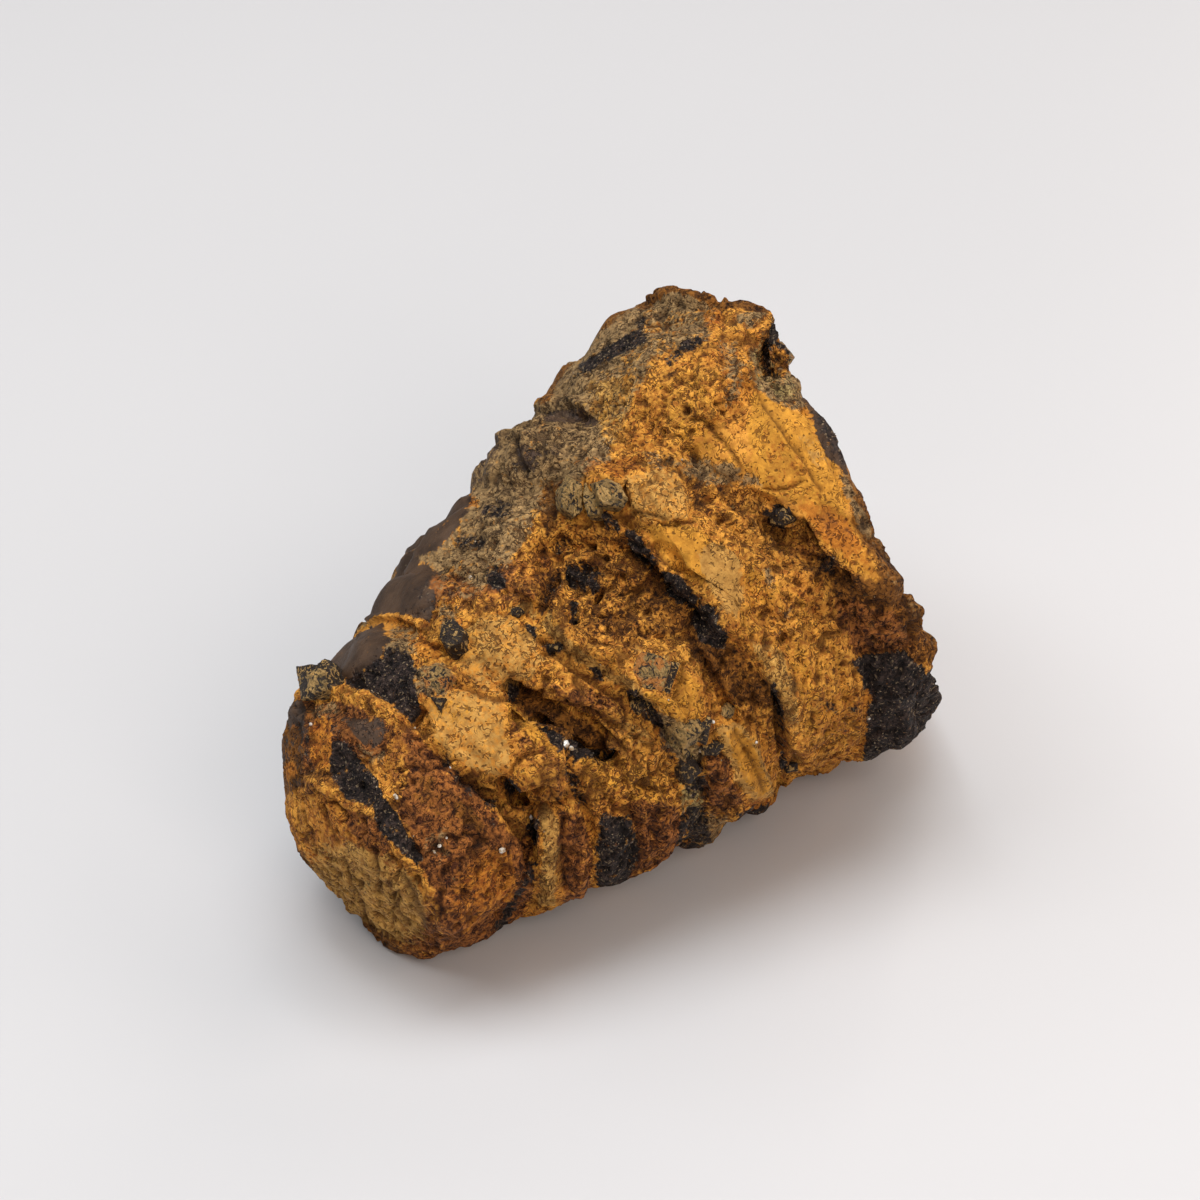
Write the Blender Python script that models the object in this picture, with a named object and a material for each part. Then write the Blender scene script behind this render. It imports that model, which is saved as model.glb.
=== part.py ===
"""Fossil nautiloid: the ironstone mould of six chambers of a straight, quickly widening shell, lying on its side.

The mould is one solid, built round a sloping axis. A place on it is a station, in millimetres along the axis from
near the second suture towards the wide end, and a bearing, in degrees round the axis: 0 on top, 90 on the near side
(-Y), 180 underneath and 270 on the far side (+Y).
"""

import math

import bmesh
import bpy
from mathutils import Euler, Matrix, Vector, noise

MM = 0.001

# Driving dimensions, in millimetres and degrees.
AXIS_RISE = 12.5  # the cone lies on its side, so its axis climbs towards the wide end
COLUMNS = 72  # faces round the mould
SHOWN_BEARING = 42.0  # the weathered side carries the finest detail, so its faces are the narrowest
CROWDING = 22.0

# Each suture is the groove that one septum left: its station, the radius there, how far its plane leans
# over, and the bearing that it leans towards.
SUTURES = [
    (-8.8, 9.5, 10.0, 120.0),
    (-4.4, 10.7, 3.0, 120.0),
    (1.1, 12.0, 13.5, 120.0),
    (8.1, 13.5, 8.5, 115.0),
    (14.3, 14.7, 10.0, 100.0),
]
# Each chamber's mould swells between its sutures: by how much, how far along it is widest, and its rows of faces.
CHAMBERS = [
    (0.7, 0.50, 6),
    (0.9, 0.55, 8),
    (1.0, 0.60, 9),
    (1.1, 0.50, 8),
    (1.3, 0.45, 13),
]
# The narrow end is the dome of the first chamber, sagging to one side and cut by a flat break.
DOME_STATION, DOME_RADIUS, DOME_HEIGHT, DOME_ROWS = -10.6, 9.7, 7.0, 9
DOME_SAG, SAG_BEARING = 0.06, 132.0
# The wide end is broken slantwise across its last chamber, and sunk where the next septum bulged in.
WIDE_STATION, WIDE_RADIUS, WIDE_LEAN, WIDE_TOWARDS = 29.0, 16.1, 28.0, 248.0
WIDE_REACH = 4.2  # past this far the far side of that break runs straight across
BOWL_DEPTH = 3.0
BOWL_ROWS = 6
# Flat breaks: the station where each crosses the axis, its slope from the axis, and the bearing that it faces.
BREAKS = [(-16.0, 166.0, 140.0), (40.0, 42.0, 342.0)]
BED_DEPTH = 0.8  # how much the side that it lies on is worn flat
WAVES = [(7.0, 0.24), (3.2, 0.22), (1.6, 0.15)]  # the wear of the whole skin: its span and its height

# Raised and sunk places. Each has a height, a half width, and the run of stations and bearings that it follows.
RELIEF = [
    # the drum of the first chamber
    (-1.4, 6.0, [(-11.5, 124)]),
    (0.55, 0.9, [(-10.5, 318), (-10.6, 340), (-10.2, 8)]),
    (-0.5, 0.7, [(-13.2, 20), (-13.8, 60)]),
    # the second chamber: a glossy blister, a flat plate, a hole under a knob, and the lobe below them
    (0.55, 2.2, [(-7.3, 326), (-7.4, 350)]),
    (0.35, 2.2, [(-8.2, 20), (-7.6, 42)]),
    (-1.7, 1.1, [(-7.6, 58), (-7.1, 62)]),
    (0.9, 1.2, [(-5.6, 54), (-5.4, 60)]),
    (-0.9, 1.1, [(-7.4, 72), (-8.1, 92)]),
    (0.7, 1.9, [(-5.9, 84), (-5.6, 104)]),
    # the third chamber: a plate on top, a long cavity and a dark lobe low down
    (0.4, 2.0, [(-3.2, 8), (-3.0, 22)]),
    (-0.6, 2.4, [(-3.8, 310)]),
    (-1.5, 1.3, [(-4.3, 30), (-3.6, 48), (-2.2, 62)]),
    (0.5, 1.2, [(-1.5, 36), (-0.3, 52)]),
    (0.6, 2.2, [(-2.4, 92), (-2.6, 116)]),
    (0.4, 1.5, [(0.4, 88), (0.4, 106)]),
    # the third septum stands proud as a thin ridge
    (0.75, 0.9, [(0.2, 24), (1.3, 42), (2.5, 58), (3.6, 76), (4.3, 92)]),
    # the fourth chamber is eaten into a pitted hollow, with a rim before the fourth septum
    (-1.5, 2.9, [(3.4, 8), (4.9, 26), (5.8, 44)]),
    (-0.8, 1.4, [(6.3, 60), (7.2, 78)]),
    (0.5, 2.0, [(5.6, 100), (5.2, 118)]),
    (-0.8, 1.6, [(2.8, 300), (3.0, 324)]),
    # the fourth septum: a knobby ridge that ends in a jutting tip
    (1.0, 1.1, [(7.9, 6), (8.0, 20), (7.8, 34), (8.6, 50), (9.3, 64), (10.2, 80), (10.3, 104)]),
    (0.6, 0.9, [(7.8, 32)]),
    (0.6, 0.9, [(8.5, 49)]),
    (1.2, 1.3, [(9.4, 122), (9.3, 132)]),
    # the fifth chamber: a cracked plate, and dips on both sides of it
    (-1.3, 3.4, [(8.8, 302), (8.6, 316)]),
    (-0.6, 2.6, [(12.9, 340)]),
    (0.5, 2.1, [(10.6, 14), (11.2, 24)]),
    (-0.9, 1.2, [(11.6, 48), (12.4, 78)]),
    (-1.9, 3.4, [(12.8, 112), (12.8, 134)]),
    (0.9, 1.2, [(15.3, 37)]),
    # the last chamber: a smooth plate, the crack along it, the sunk rim, the notch and the crust
    (0.5, 2.9, [(18.4, 26), (18.6, 56)]),
    (-0.9, 1.5, [(22.6, 24), (21.6, 50), (21.3, 76)]),
    (-2.0, 2.2, [(22.4, 8), (22.8, 14)]),
    (0.7, 1.7, [(24.4, 326), (24.7, 342)]),
    (0.7, 3.6, [(19.4, 310)]),
    (1.3, 6.5, [(17.8, 168), (17.8, 192)]),
    (-0.7, 1.6, [(21.6, 326), (21.4, 342)]),
    # the far side: spalls, and the stumps of broken septa
    (-0.8, 3.0, [(20.5, 234), (21.5, 256)]),
    (0.5, 1.5, [(2.6, 222), (3.0, 246)]),
    (-0.7, 1.8, [(-5.5, 258), (-5.2, 270)]),
    (0.5, 2.0, [(-6.8, 226), (-7.0, 244)]),
    (-0.6, 1.6, [(10.4, 262), (10.2, 284)]),
    (0.6, 2.8, [(18.4, 98), (18.4, 116)]),
    (-1.7, 2.6, [(21.8, 114), (21.8, 134)]),
]

# Crystals and broken blocks that stand out of the mould: station, bearing, how far the middle is from the axis,
# the size along, round and out, and the turn about each of those three ways.
BLOCKS = [
    (-9.8, 312.0, 9.9, (2.4, 2.5, 2.4), (6.0, 37.0, 4.0)),
    (-7.5, 11.0, 10.5, (1.1, 1.0, 1.0), (10.0, 20.0, 35.0)),
    (-4.0, 2.0, 11.3, (1.3, 1.5, 1.1), (15.0, -12.0, 20.0)),
    (7.6, 0.0, 13.9, (2.3, 2.0, 2.6), (18.0, 28.0, 12.0)),
    (9.2, 5.0, 14.2, (2.0, 2.6, 2.2), (-20.0, -18.0, 40.0)),
    (4.1, 52.0, 12.4, (2.2, 2.4, 2.0), (0.0, 4.0, 32.0)),
    (4.6, 74.0, 12.6, (1.3, 1.2, 1.4), (25.0, 10.0, 15.0)),
    (22.3, 15.0, 14.9, (2.4, 2.2, 2.4), (12.0, 24.0, 18.0)),
]
BLOCK_CHAMFER = 0.22
CUT_MERGE = 0.00001

# Clefts cut into the mould, laid out as the blocks are.
CLEFTS = [
    (-2.9, 58.0, 11.4, (0.8, 3.4, 3.0), (0.0, 12.0, 24.0)),
    (-7.2, 60.0, 9.6, (1.0, 1.3, 2.6), (0.0, 20.0, 20.0)),
    (22.9, 10.0, 16.6, (0.7, 3.0, 3.4), (0.0, 6.0, -22.0)),
]
CLEFT_TAPER = 0.35  # how wide a cleft's floor is, as a share of its mouth

IRONSTONE = (0.262, 0.125, 0.036)
IRONSTONE_ROUGHNESS = 0.72
SHARP_ANGLE = 38.0

RISE = math.radians(AXIS_RISE)
ALONG = Vector((math.cos(RISE), 0.0, math.sin(RISE)))
UPWARD = Vector((-math.sin(RISE), 0.0, math.cos(RISE)))
NEARWARD = Vector((0.0, -1.0, 0.0))


def outward(bearing):
    """The direction straight out from the axis at this bearing."""
    angle = math.radians(bearing)
    return UPWARD * math.cos(angle) + NEARWARD * math.sin(angle)


def column_bearings():
    """The bearing of each column of corners, closer together on the weathered side."""
    turns = [360.0 * i / COLUMNS for i in range(COLUMNS)]
    return [turn - CROWDING * math.sin(math.radians(turn - SHOWN_BEARING)) for turn in turns]


def leaning(station, radius, lean, towards, bearing):
    """Where a plane that leans over meets the mould's side at this bearing."""
    return station + radius * math.tan(math.radians(lean)) * math.cos(math.radians(bearing - towards))


def wide_rim(radius, bearing):
    """The station of the wide end's break at this distance from the axis."""
    past = leaning(0.0, radius, WIDE_LEAN, WIDE_TOWARDS, bearing)
    return WIDE_STATION + min(past, WIDE_REACH + 0.15 * past)


def swelling(share, widest, height):
    """A chamber's bulge over the line between its two sutures: steep at the grooves and broad on top."""
    reach = share / widest if share < widest else (1.0 - share) / (1.0 - widest)
    return height * (1.0 - (1.0 - reach) ** 2.6)


def dome_rows():
    """The narrow end: rings of (station, radius) from near the dome's top down to its widest."""
    rows = []
    for i in range(1, DOME_ROWS + 1):
        angle = 0.5 * math.pi * i / DOME_ROWS
        rows.append([(DOME_STATION - DOME_HEIGHT * math.cos(angle), DOME_RADIUS * math.sin(angle))] * COLUMNS)
    return rows


def drum_row(columns):
    """One more ring between the dome's widest and the first suture."""
    return [(0.5 * (DOME_STATION + leaning(*SUTURES[0], b)), DOME_RADIUS + 0.05) for b in columns]


def chamber_rows(columns):
    """Rings of (station, radius) along the sides of the chambers, one pair to a column."""
    rows = []
    for i, (swell, widest, count) in enumerate(CHAMBERS):
        start = SUTURES[i]
        last = i + 1 == len(SUTURES)
        end_radius = WIDE_RADIUS if last else SUTURES[i + 1][1]
        for step in range(count):
            share = 0.5 - 0.5 * math.cos(math.pi * step / count)
            radius = start[1] + (end_radius - start[1]) * share + swelling(share, widest, swell)
            row = []
            for b in columns:
                low = leaning(*start, b)
                high = wide_rim(WIDE_RADIUS, b) if last else leaning(*SUTURES[i + 1], b)
                row.append((low + (high - low) * share, radius))
            rows.append(row)
    rows.append([(wide_rim(WIDE_RADIUS, b), WIDE_RADIUS) for b in columns])
    return rows


def bowl_rows(columns, rim):
    """The wide end: rings that shrink from its rim and sink into the bowl of the next septum."""
    rows = []
    for i in range(1, BOWL_ROWS):
        share = 1.0 - i / BOWL_ROWS
        sink = BOWL_DEPTH * (1.0 - share**2)
        rows.append([(wide_rim(radius * share, b) - sink, radius * share) for b, (_, radius) in zip(columns, rim)])
    return rows


def run_distance(station, bearing, radius, run):
    """How far this place is from a run of stations and bearings, over the mould's skin."""

    def unrolled(s, b):
        turn = (b - bearing + 180.0) % 360.0 - 180.0
        return Vector((s - station, math.radians(turn) * radius))

    points = [unrolled(s, b) for s, b in run]
    nearest = min(p.length for p in points)
    for a, b in zip(points, points[1:]):
        span = b - a
        share = max(0.0, min(1.0, -a.dot(span) / span.length_squared))
        nearest = min(nearest, (a + span * share).length)
    return nearest


def relief(station, bearing, radius):
    """How far the raised and sunk places lift the skin here."""
    total = 0.0
    for height, half_width, run in RELIEF:
        reach = run_distance(station, bearing, radius, run) / half_width
        if reach < 1.0:
            total += height * (1.0 - reach**2.5) ** 2
    return total


def place(station, bearing, radius):
    """The point at this station and bearing; near the narrow end the axis sags to one side."""
    sag = DOME_SAG * max(0.0, DOME_STATION - station) ** 2
    return ALONG * station + outward(bearing) * radius + outward(SAG_BEARING) * sag


def build_mould():
    """The mould's skin as rings of corners joined by faces, closed at both ends."""
    columns = column_bearings()
    plain = dome_rows() + [drum_row(columns)] + chamber_rows(columns)
    side = [[(s, r + relief(s, b, r)) for b, (s, r) in zip(columns, row)] for row in plain]
    shape = bmesh.new()
    rings = []
    for row in side + bowl_rows(columns, side[-1]):
        rings.append([shape.verts.new(place(s, b, r)) for b, (s, r) in zip(columns, row)])
    for lower, upper in zip(rings, rings[1:]):
        for i in range(COLUMNS):
            j = (i + 1) % COLUMNS
            shape.faces.new((lower[i], lower[j], upper[j], upper[i]))
    for ring, station in ((rings[0], DOME_STATION - DOME_HEIGHT), (rings[-1], WIDE_STATION - BOWL_DEPTH)):
        middle = shape.verts.new(place(station, 0.0, 0.0))
        for i in range(COLUMNS):
            shape.faces.new((ring[i], ring[(i + 1) % COLUMNS], middle))
    bmesh.ops.recalc_face_normals(shape, faces=shape.faces)
    return shape


def cut_flat(shape, point, normal):
    """Takes off everything past a plane and closes the shape with a flat face."""
    everything = [*shape.verts, *shape.edges, *shape.faces]
    cut = bmesh.ops.bisect_plane(
        shape, geom=everything, dist=CUT_MERGE, plane_co=point, plane_no=normal, clear_outer=True
    )
    rim = [part for part in cut["geom_cut"] if isinstance(part, bmesh.types.BMEdge)]
    bmesh.ops.holes_fill(shape, edges=rim, sides=0)


def break_off(shape, station, slope, towards):
    """Cuts along a break."""
    angle = math.radians(slope)
    normal = ALONG * math.cos(angle) + outward(towards) * math.sin(angle)
    cut_flat(shape, ALONG * station, normal)


def weather(shape):
    """Moves every corner in or out a little, in waves of several spans."""
    shape.normal_update()
    moves = [
        v.normal * sum(height * noise.noise(v.co / span + Vector((span, 0.0, 0.0))) for span, height in WAVES)
        for v in shape.verts
    ]
    for v, move in zip(shape.verts, moves):
        v.co += move


def lay_down(shape):
    """Wears the underside flat, and puts the origin under the middle of the mould's box."""
    floor = min(v.co.z for v in shape.verts) + BED_DEPTH
    cut_flat(shape, Vector((0.0, 0.0, floor)), Vector((0.0, 0.0, -1.0)))
    bmesh.ops.recalc_face_normals(shape, faces=shape.faces)
    low = Vector([min(v.co[i] for v in shape.verts) for i in range(3)])
    high = Vector([max(v.co[i] for v in shape.verts) for i in range(3)])
    shift = Vector(((low.x + high.x) / 2, (low.y + high.y) / 2, low.z))
    for v in shape.verts:
        v.co -= shift
    return shift


def make_object(name, shape):
    """Turns a shape measured in millimetres into an object."""
    bmesh.ops.scale(shape, vec=(MM, MM, MM), verts=shape.verts)
    mesh = bpy.data.meshes.new(name)
    shape.to_mesh(mesh)
    shape.free()
    obj = bpy.data.objects.new(name, mesh)
    bpy.context.scene.collection.objects.link(obj)
    return obj


def make_block(name, row, shift, chamfer, taper):
    """A box stood on the mould's skin and turned; its inner end is narrower by the taper."""
    station, bearing, radius, size, turns = row
    shape = bmesh.new()
    bmesh.ops.create_cube(shape, size=1.0)
    for v in shape.verts:
        v.co = Vector([v.co[i] * size[i] for i in range(3)])
        if v.co.z < 0.0:
            v.co.x *= taper
    if chamfer:
        bmesh.ops.bevel(shape, geom=shape.edges, offset=chamfer, segments=1, affect="EDGES", profile=0.5)
    out = outward(bearing)
    stand = Matrix((ALONG, out.cross(ALONG), out)).transposed().to_4x4()
    turned = Euler([math.radians(turn) for turn in turns]).to_matrix().to_4x4()
    where = Matrix.Translation(place(station, bearing, radius) - shift)
    bmesh.ops.transform(shape, matrix=where @ stand @ turned, verts=shape.verts)
    return make_object(name, shape)


def combine(target, tools, operation):
    """Joins the tools to the target, or cuts them out of it, one at a time."""
    for tool in tools:
        step = target.modifiers.new(tool.name, "BOOLEAN")
        step.operation = operation
        step.solver = "EXACT"
        step.object = tool
        depsgraph = bpy.context.evaluated_depsgraph_get()
        result = bpy.data.meshes.new_from_object(target.evaluated_get(depsgraph))
        target.modifiers.clear()
        target.data = result
        bpy.data.objects.remove(tool)


def give_material(obj):
    """Gives the mould its rusty ironstone and smooths it between its sharper edges."""
    material = bpy.data.materials.new("ironstone")
    material.use_nodes = True
    surface = material.node_tree.nodes["Principled BSDF"]
    surface.inputs["Base Color"].default_value = (*IRONSTONE, 1.0)
    surface.inputs["Roughness"].default_value = IRONSTONE_ROUGHNESS
    surface.inputs["Metallic"].default_value = 0.0
    obj.data.materials.clear()
    obj.data.materials.append(material)
    obj.data.shade_smooth()
    obj.data.set_sharp_from_angle(angle=math.radians(SHARP_ANGLE))


def main():
    for obj in list(bpy.data.objects):
        bpy.data.objects.remove(obj)
    shape = build_mould()
    weather(shape)
    for row in BREAKS:
        break_off(shape, *row)
    shift = lay_down(shape)
    mould = make_object("nautiloid", shape)
    blocks = [make_block(f"block_{i}", row, shift, BLOCK_CHAMFER, 1.0) for i, row in enumerate(BLOCKS)]
    clefts = [make_block(f"cleft_{i}", row, shift, 0.0, CLEFT_TAPER) for i, row in enumerate(CLEFTS)]
    combine(mould, blocks, "UNION")
    combine(mould, clefts, "DIFFERENCE")
    give_material(mould)


main()
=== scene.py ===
"""Fossil nautiloid: the finished look of a weathered ironstone mould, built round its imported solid."""

import math
import random

import bmesh
import bpy
import numpy as np
from mathutils import Euler, Matrix, Vector, noise
from mathutils.bvhtree import BVHTree


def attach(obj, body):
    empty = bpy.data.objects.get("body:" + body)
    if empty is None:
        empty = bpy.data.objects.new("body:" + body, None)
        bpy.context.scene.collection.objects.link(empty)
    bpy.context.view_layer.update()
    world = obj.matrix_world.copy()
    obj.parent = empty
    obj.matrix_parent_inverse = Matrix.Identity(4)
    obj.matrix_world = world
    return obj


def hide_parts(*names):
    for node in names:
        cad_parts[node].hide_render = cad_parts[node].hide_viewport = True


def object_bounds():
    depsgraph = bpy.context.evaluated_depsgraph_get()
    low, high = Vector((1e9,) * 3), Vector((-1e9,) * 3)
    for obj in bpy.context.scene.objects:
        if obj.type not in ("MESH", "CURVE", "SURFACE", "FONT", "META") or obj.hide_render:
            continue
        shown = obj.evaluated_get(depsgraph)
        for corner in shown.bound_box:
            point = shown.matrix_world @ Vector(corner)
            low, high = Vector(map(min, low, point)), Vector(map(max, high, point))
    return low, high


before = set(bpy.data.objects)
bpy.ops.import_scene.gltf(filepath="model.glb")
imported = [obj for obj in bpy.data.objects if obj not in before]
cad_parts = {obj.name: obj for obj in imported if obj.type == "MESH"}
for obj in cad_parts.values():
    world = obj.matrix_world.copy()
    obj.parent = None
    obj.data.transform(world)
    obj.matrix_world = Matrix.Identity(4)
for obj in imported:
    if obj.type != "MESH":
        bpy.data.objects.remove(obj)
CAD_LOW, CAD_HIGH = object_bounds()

bl_info = {
    "name": "Fossil nautiloid",
    "version": (1, 0, 0),
    "blender": (4, 5, 0),
    "location": "3D View > Sidebar > Fossil",
    "description": "Builds the rusty ironstone mould of a straight nautiloid, with its crystals and grains",
    "category": "Object",
}

NODE = "nautiloid"
MM = 0.001
FULL_TURN = 6.28  # radians

# The view: a camera that looks down on the weathered side of the mould, past its narrow end.
VIEW_ELEVATION, VIEW_AZIMUTH, VIEW_DISTANCE = 35.0, -43.0, 260.0
VIEW_TARGET = Vector((-3.24, 0.08, 18.54))
FRAME_PIXELS = 1200
PIXELS_PER_MM = 15.5
SENSOR_MM = 36.0

# Pigments, in the order in which the surface stacks them.
PIGMENTS = ("pale", "gold", "orange", "rust", "patina", "umber", "olive", "glaze", "black")


# ---------------------------------------------------------------- sizes and colours that a user would change


class FossilSizes(bpy.types.PropertyGroup):
    """Sizes of the mould's skin, its pits and its grains."""

    skin: bpy.props.FloatProperty(
        name="Skin mesh", description="Width of one face of the mould's skin", default=0.0002, unit="LENGTH"
    )
    most_faces: bpy.props.IntProperty(
        name="Most faces", description="Triangles that the mould's skin may have", default=196000
    )
    wear: bpy.props.FloatProperty(
        name="Wear", description="Height of the skin's small lumps", default=0.00018, unit="LENGTH"
    )
    pit_depth: bpy.props.FloatProperty(
        name="Pit depth", description="Depth of the modelled pits", default=0.0003, unit="LENGTH"
    )
    fine_pit: bpy.props.FloatProperty(
        name="Fine pit", description="Spacing of the material's finest pits", default=0.00052, unit="LENGTH"
    )
    grain: bpy.props.FloatProperty(
        name="Grain", description="Width of the loose mineral grains", default=0.00022, unit="LENGTH"
    )
    grain_count: bpy.props.FloatProperty(
        name="Grain density", description="Loose grains on a square metre of dark skin", default=900000.0
    )


def swatch(name, description, hex_value):
    """A colour property whose default is a hex value."""
    return bpy.props.FloatVectorProperty(
        name=name,
        description=description,
        subtype="COLOR",
        size=4,
        min=0.0,
        max=1.0,
        default=linear(hex_value),
    )


def linear(hex_value):
    """The linear colour of an sRGB hex value, opaque."""
    shares = [int(hex_value[i : i + 2], 16) / 255.0 for i in (1, 3, 5)]
    return (*(s / 12.92 if s <= 0.04045 else ((s + 0.055) / 1.055) ** 2.4 for s in shares), 1.0)


class FossilColours(bpy.types.PropertyGroup):
    """Colours of the minerals and of the floor."""

    # Each pigment has a dark and a light colour; on most, the material lays the light one on the grain's
    # crests and the dark one in its gaps: painted highlight and painted shade as well as the mineral's own
    # tones
    ochre: swatch("Ochre", "Earthy iron oxide that fills most of the skin", "#A66626")
    ochre_light: swatch("Ochre, light", "Crests of the ochre", "#E09E40")
    pale: swatch("Pale ochre", "Thin clay-rich plates", "#9A6A30")
    pale_light: swatch("Pale ochre, light", "Crests of the pale plates", "#C8984E")
    gold: swatch("Gold ochre", "Smooth plates of limonite", "#A66C24")
    gold_light: swatch("Gold ochre, light", "Crests of the gold plates", "#D69836")
    orange: swatch("Orange ochre", "Fresh limonite", "#904E18")
    orange_light: swatch("Orange ochre, light", "Crests of the fresh limonite", "#C27C2A")
    rust: swatch("Rust", "Red-brown iron oxide", "#482410")
    rust_light: swatch("Rust, light", "Crests of the rust", "#A2642E")
    patina: swatch("Patina", "Grey-brown weathered skin", "#543E26")
    patina_light: swatch("Patina, light", "Crests of the grey-brown skin", "#AA895B")
    umber: swatch("Umber", "Dark brown of the hollows", "#4A2A0E")
    umber_light: swatch("Umber, light", "Crests in the hollows", "#905C22")
    olive: swatch("Olive", "Greenish clay", "#6E5A32")
    olive_light: swatch("Olive, light", "Crests of the greenish clay", "#B29A60")
    glaze: swatch("Brown glaze", "Smooth dark brown skin", "#2C1E16")
    glaze_light: swatch("Brown glaze, light", "Crests of the smooth skin", "#5A4432")
    black: swatch("Manganese black", "Black manganese crust", "#181110")
    black_light: swatch("Manganese black, light", "Crests of the black crust", "#3C2F29")
    # painted shade and dirt: the colour that darkens the pits and cracks
    pit_shade_and_dirt: swatch("Pit", "How much the pits darken the skin", "#523E40")
    speckle: swatch("Speckle", "Pale grains in the dark crusts", "#A08A6C")
    crystal: swatch("Crystal", "Olive-brown crystals", "#A4824C")
    crystal_dark: swatch("Dark crystal", "Dark faces of the crystals", "#281C12")
    sparkle: swatch("Sparkle", "Clear and white mineral grains", "#E4E2DC")
    floor: swatch("Floor", "Pale studio floor", "#D0D0D2")


# ---------------------------------------------------------------- the view and places drawn on it

ELEVATION, AZIMUTH = math.radians(VIEW_ELEVATION), math.radians(VIEW_AZIMUTH)
VIEW_BACK = Vector(
    (math.sin(AZIMUTH) * math.cos(ELEVATION), -math.cos(AZIMUTH) * math.cos(ELEVATION), math.sin(ELEVATION))
)
VIEW_RIGHT = Vector((math.cos(AZIMUTH), math.sin(AZIMUTH), 0.0))
VIEW_UP = VIEW_BACK.cross(VIEW_RIGHT)
EYE = VIEW_TARGET + VIEW_BACK * VIEW_DISTANCE
FOCAL_PIXELS = VIEW_DISTANCE * PIXELS_PER_MM


def drawn_at(points):
    """Where points in millimetres are drawn on the view, in its pixels."""
    rel = points - np.array(EYE)
    depth = -(rel @ np.array(VIEW_BACK))
    half = FRAME_PIXELS / 2
    x = half + FOCAL_PIXELS * (rel @ np.array(VIEW_RIGHT)) / depth
    y = half - FOCAL_PIXELS * (rel @ np.array(VIEW_UP)) / depth
    return np.stack((x, y), axis=1)


def sight_line(x, y):
    """The direction in which the camera sees this pixel."""
    half = FRAME_PIXELS / 2
    return (-VIEW_BACK * FOCAL_PIXELS + VIEW_RIGHT * (x - half) + VIEW_UP * (half - y)).normalized()


def smooth(low, high, value):
    """Rises smoothly from 0 at low to 1 at high."""
    share = np.clip((value - low) / (high - low), 0.0, 1.0)
    return share * share * (3.0 - 2.0 * share)


def run_reach(at, run):
    """How far each place is from a run of drawn points, in mm, and which side of the run it is on."""
    nearest = np.full(len(at), 1.0e9)
    side = np.zeros(len(at))
    points = np.array(run, dtype=float)
    for a, b in zip(points, points[1:]):
        span = b - a
        share = np.clip((at - a) @ span / (span @ span), 0.0, 1.0)
        off = at - a - share[:, None] * span
        reach = np.hypot(off[:, 0], off[:, 1])
        closer = reach < nearest
        nearest[closer] = reach[closer]
        side[closer] = np.sign(span[0] * off[closer, 1] - span[1] * off[closer, 0])
    return nearest / PIXELS_PER_MM, side


def patch_depth(at, corners):
    """How far inside a drawn patch each place is, in mm; outside it is negative."""
    inside = np.zeros(len(at), dtype=bool)
    nearest = np.full(len(at), 1.0e9)
    points = np.array(corners, dtype=float)
    for a, b in zip(points, np.roll(points, -1, axis=0)):
        span = b - a
        share = np.clip((at - a) @ span / (span @ span), 0.0, 1.0)
        off = at - a - share[:, None] * span
        nearest = np.minimum(nearest, np.hypot(off[:, 0], off[:, 1]))
        crosses = (a[1] > at[:, 1]) != (b[1] > at[:, 1])
        rise = b[1] - a[1] if b[1] != a[1] else 1.0
        inside ^= crosses & (at[:, 0] < a[0] + (at[:, 1] - a[1]) * span[0] / rise)
    return np.where(inside, nearest, -nearest) / PIXELS_PER_MM


# ---------------------------------------------------------------- the marks of the weathered side
# Every mark is drawn on the view and lies on the skin that it falls on. Heights and widths are in mm.

CRACK_WIDTH = 0.4  # sunk lines narrower than this are painted darker: dirt in them, and painted shade
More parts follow.
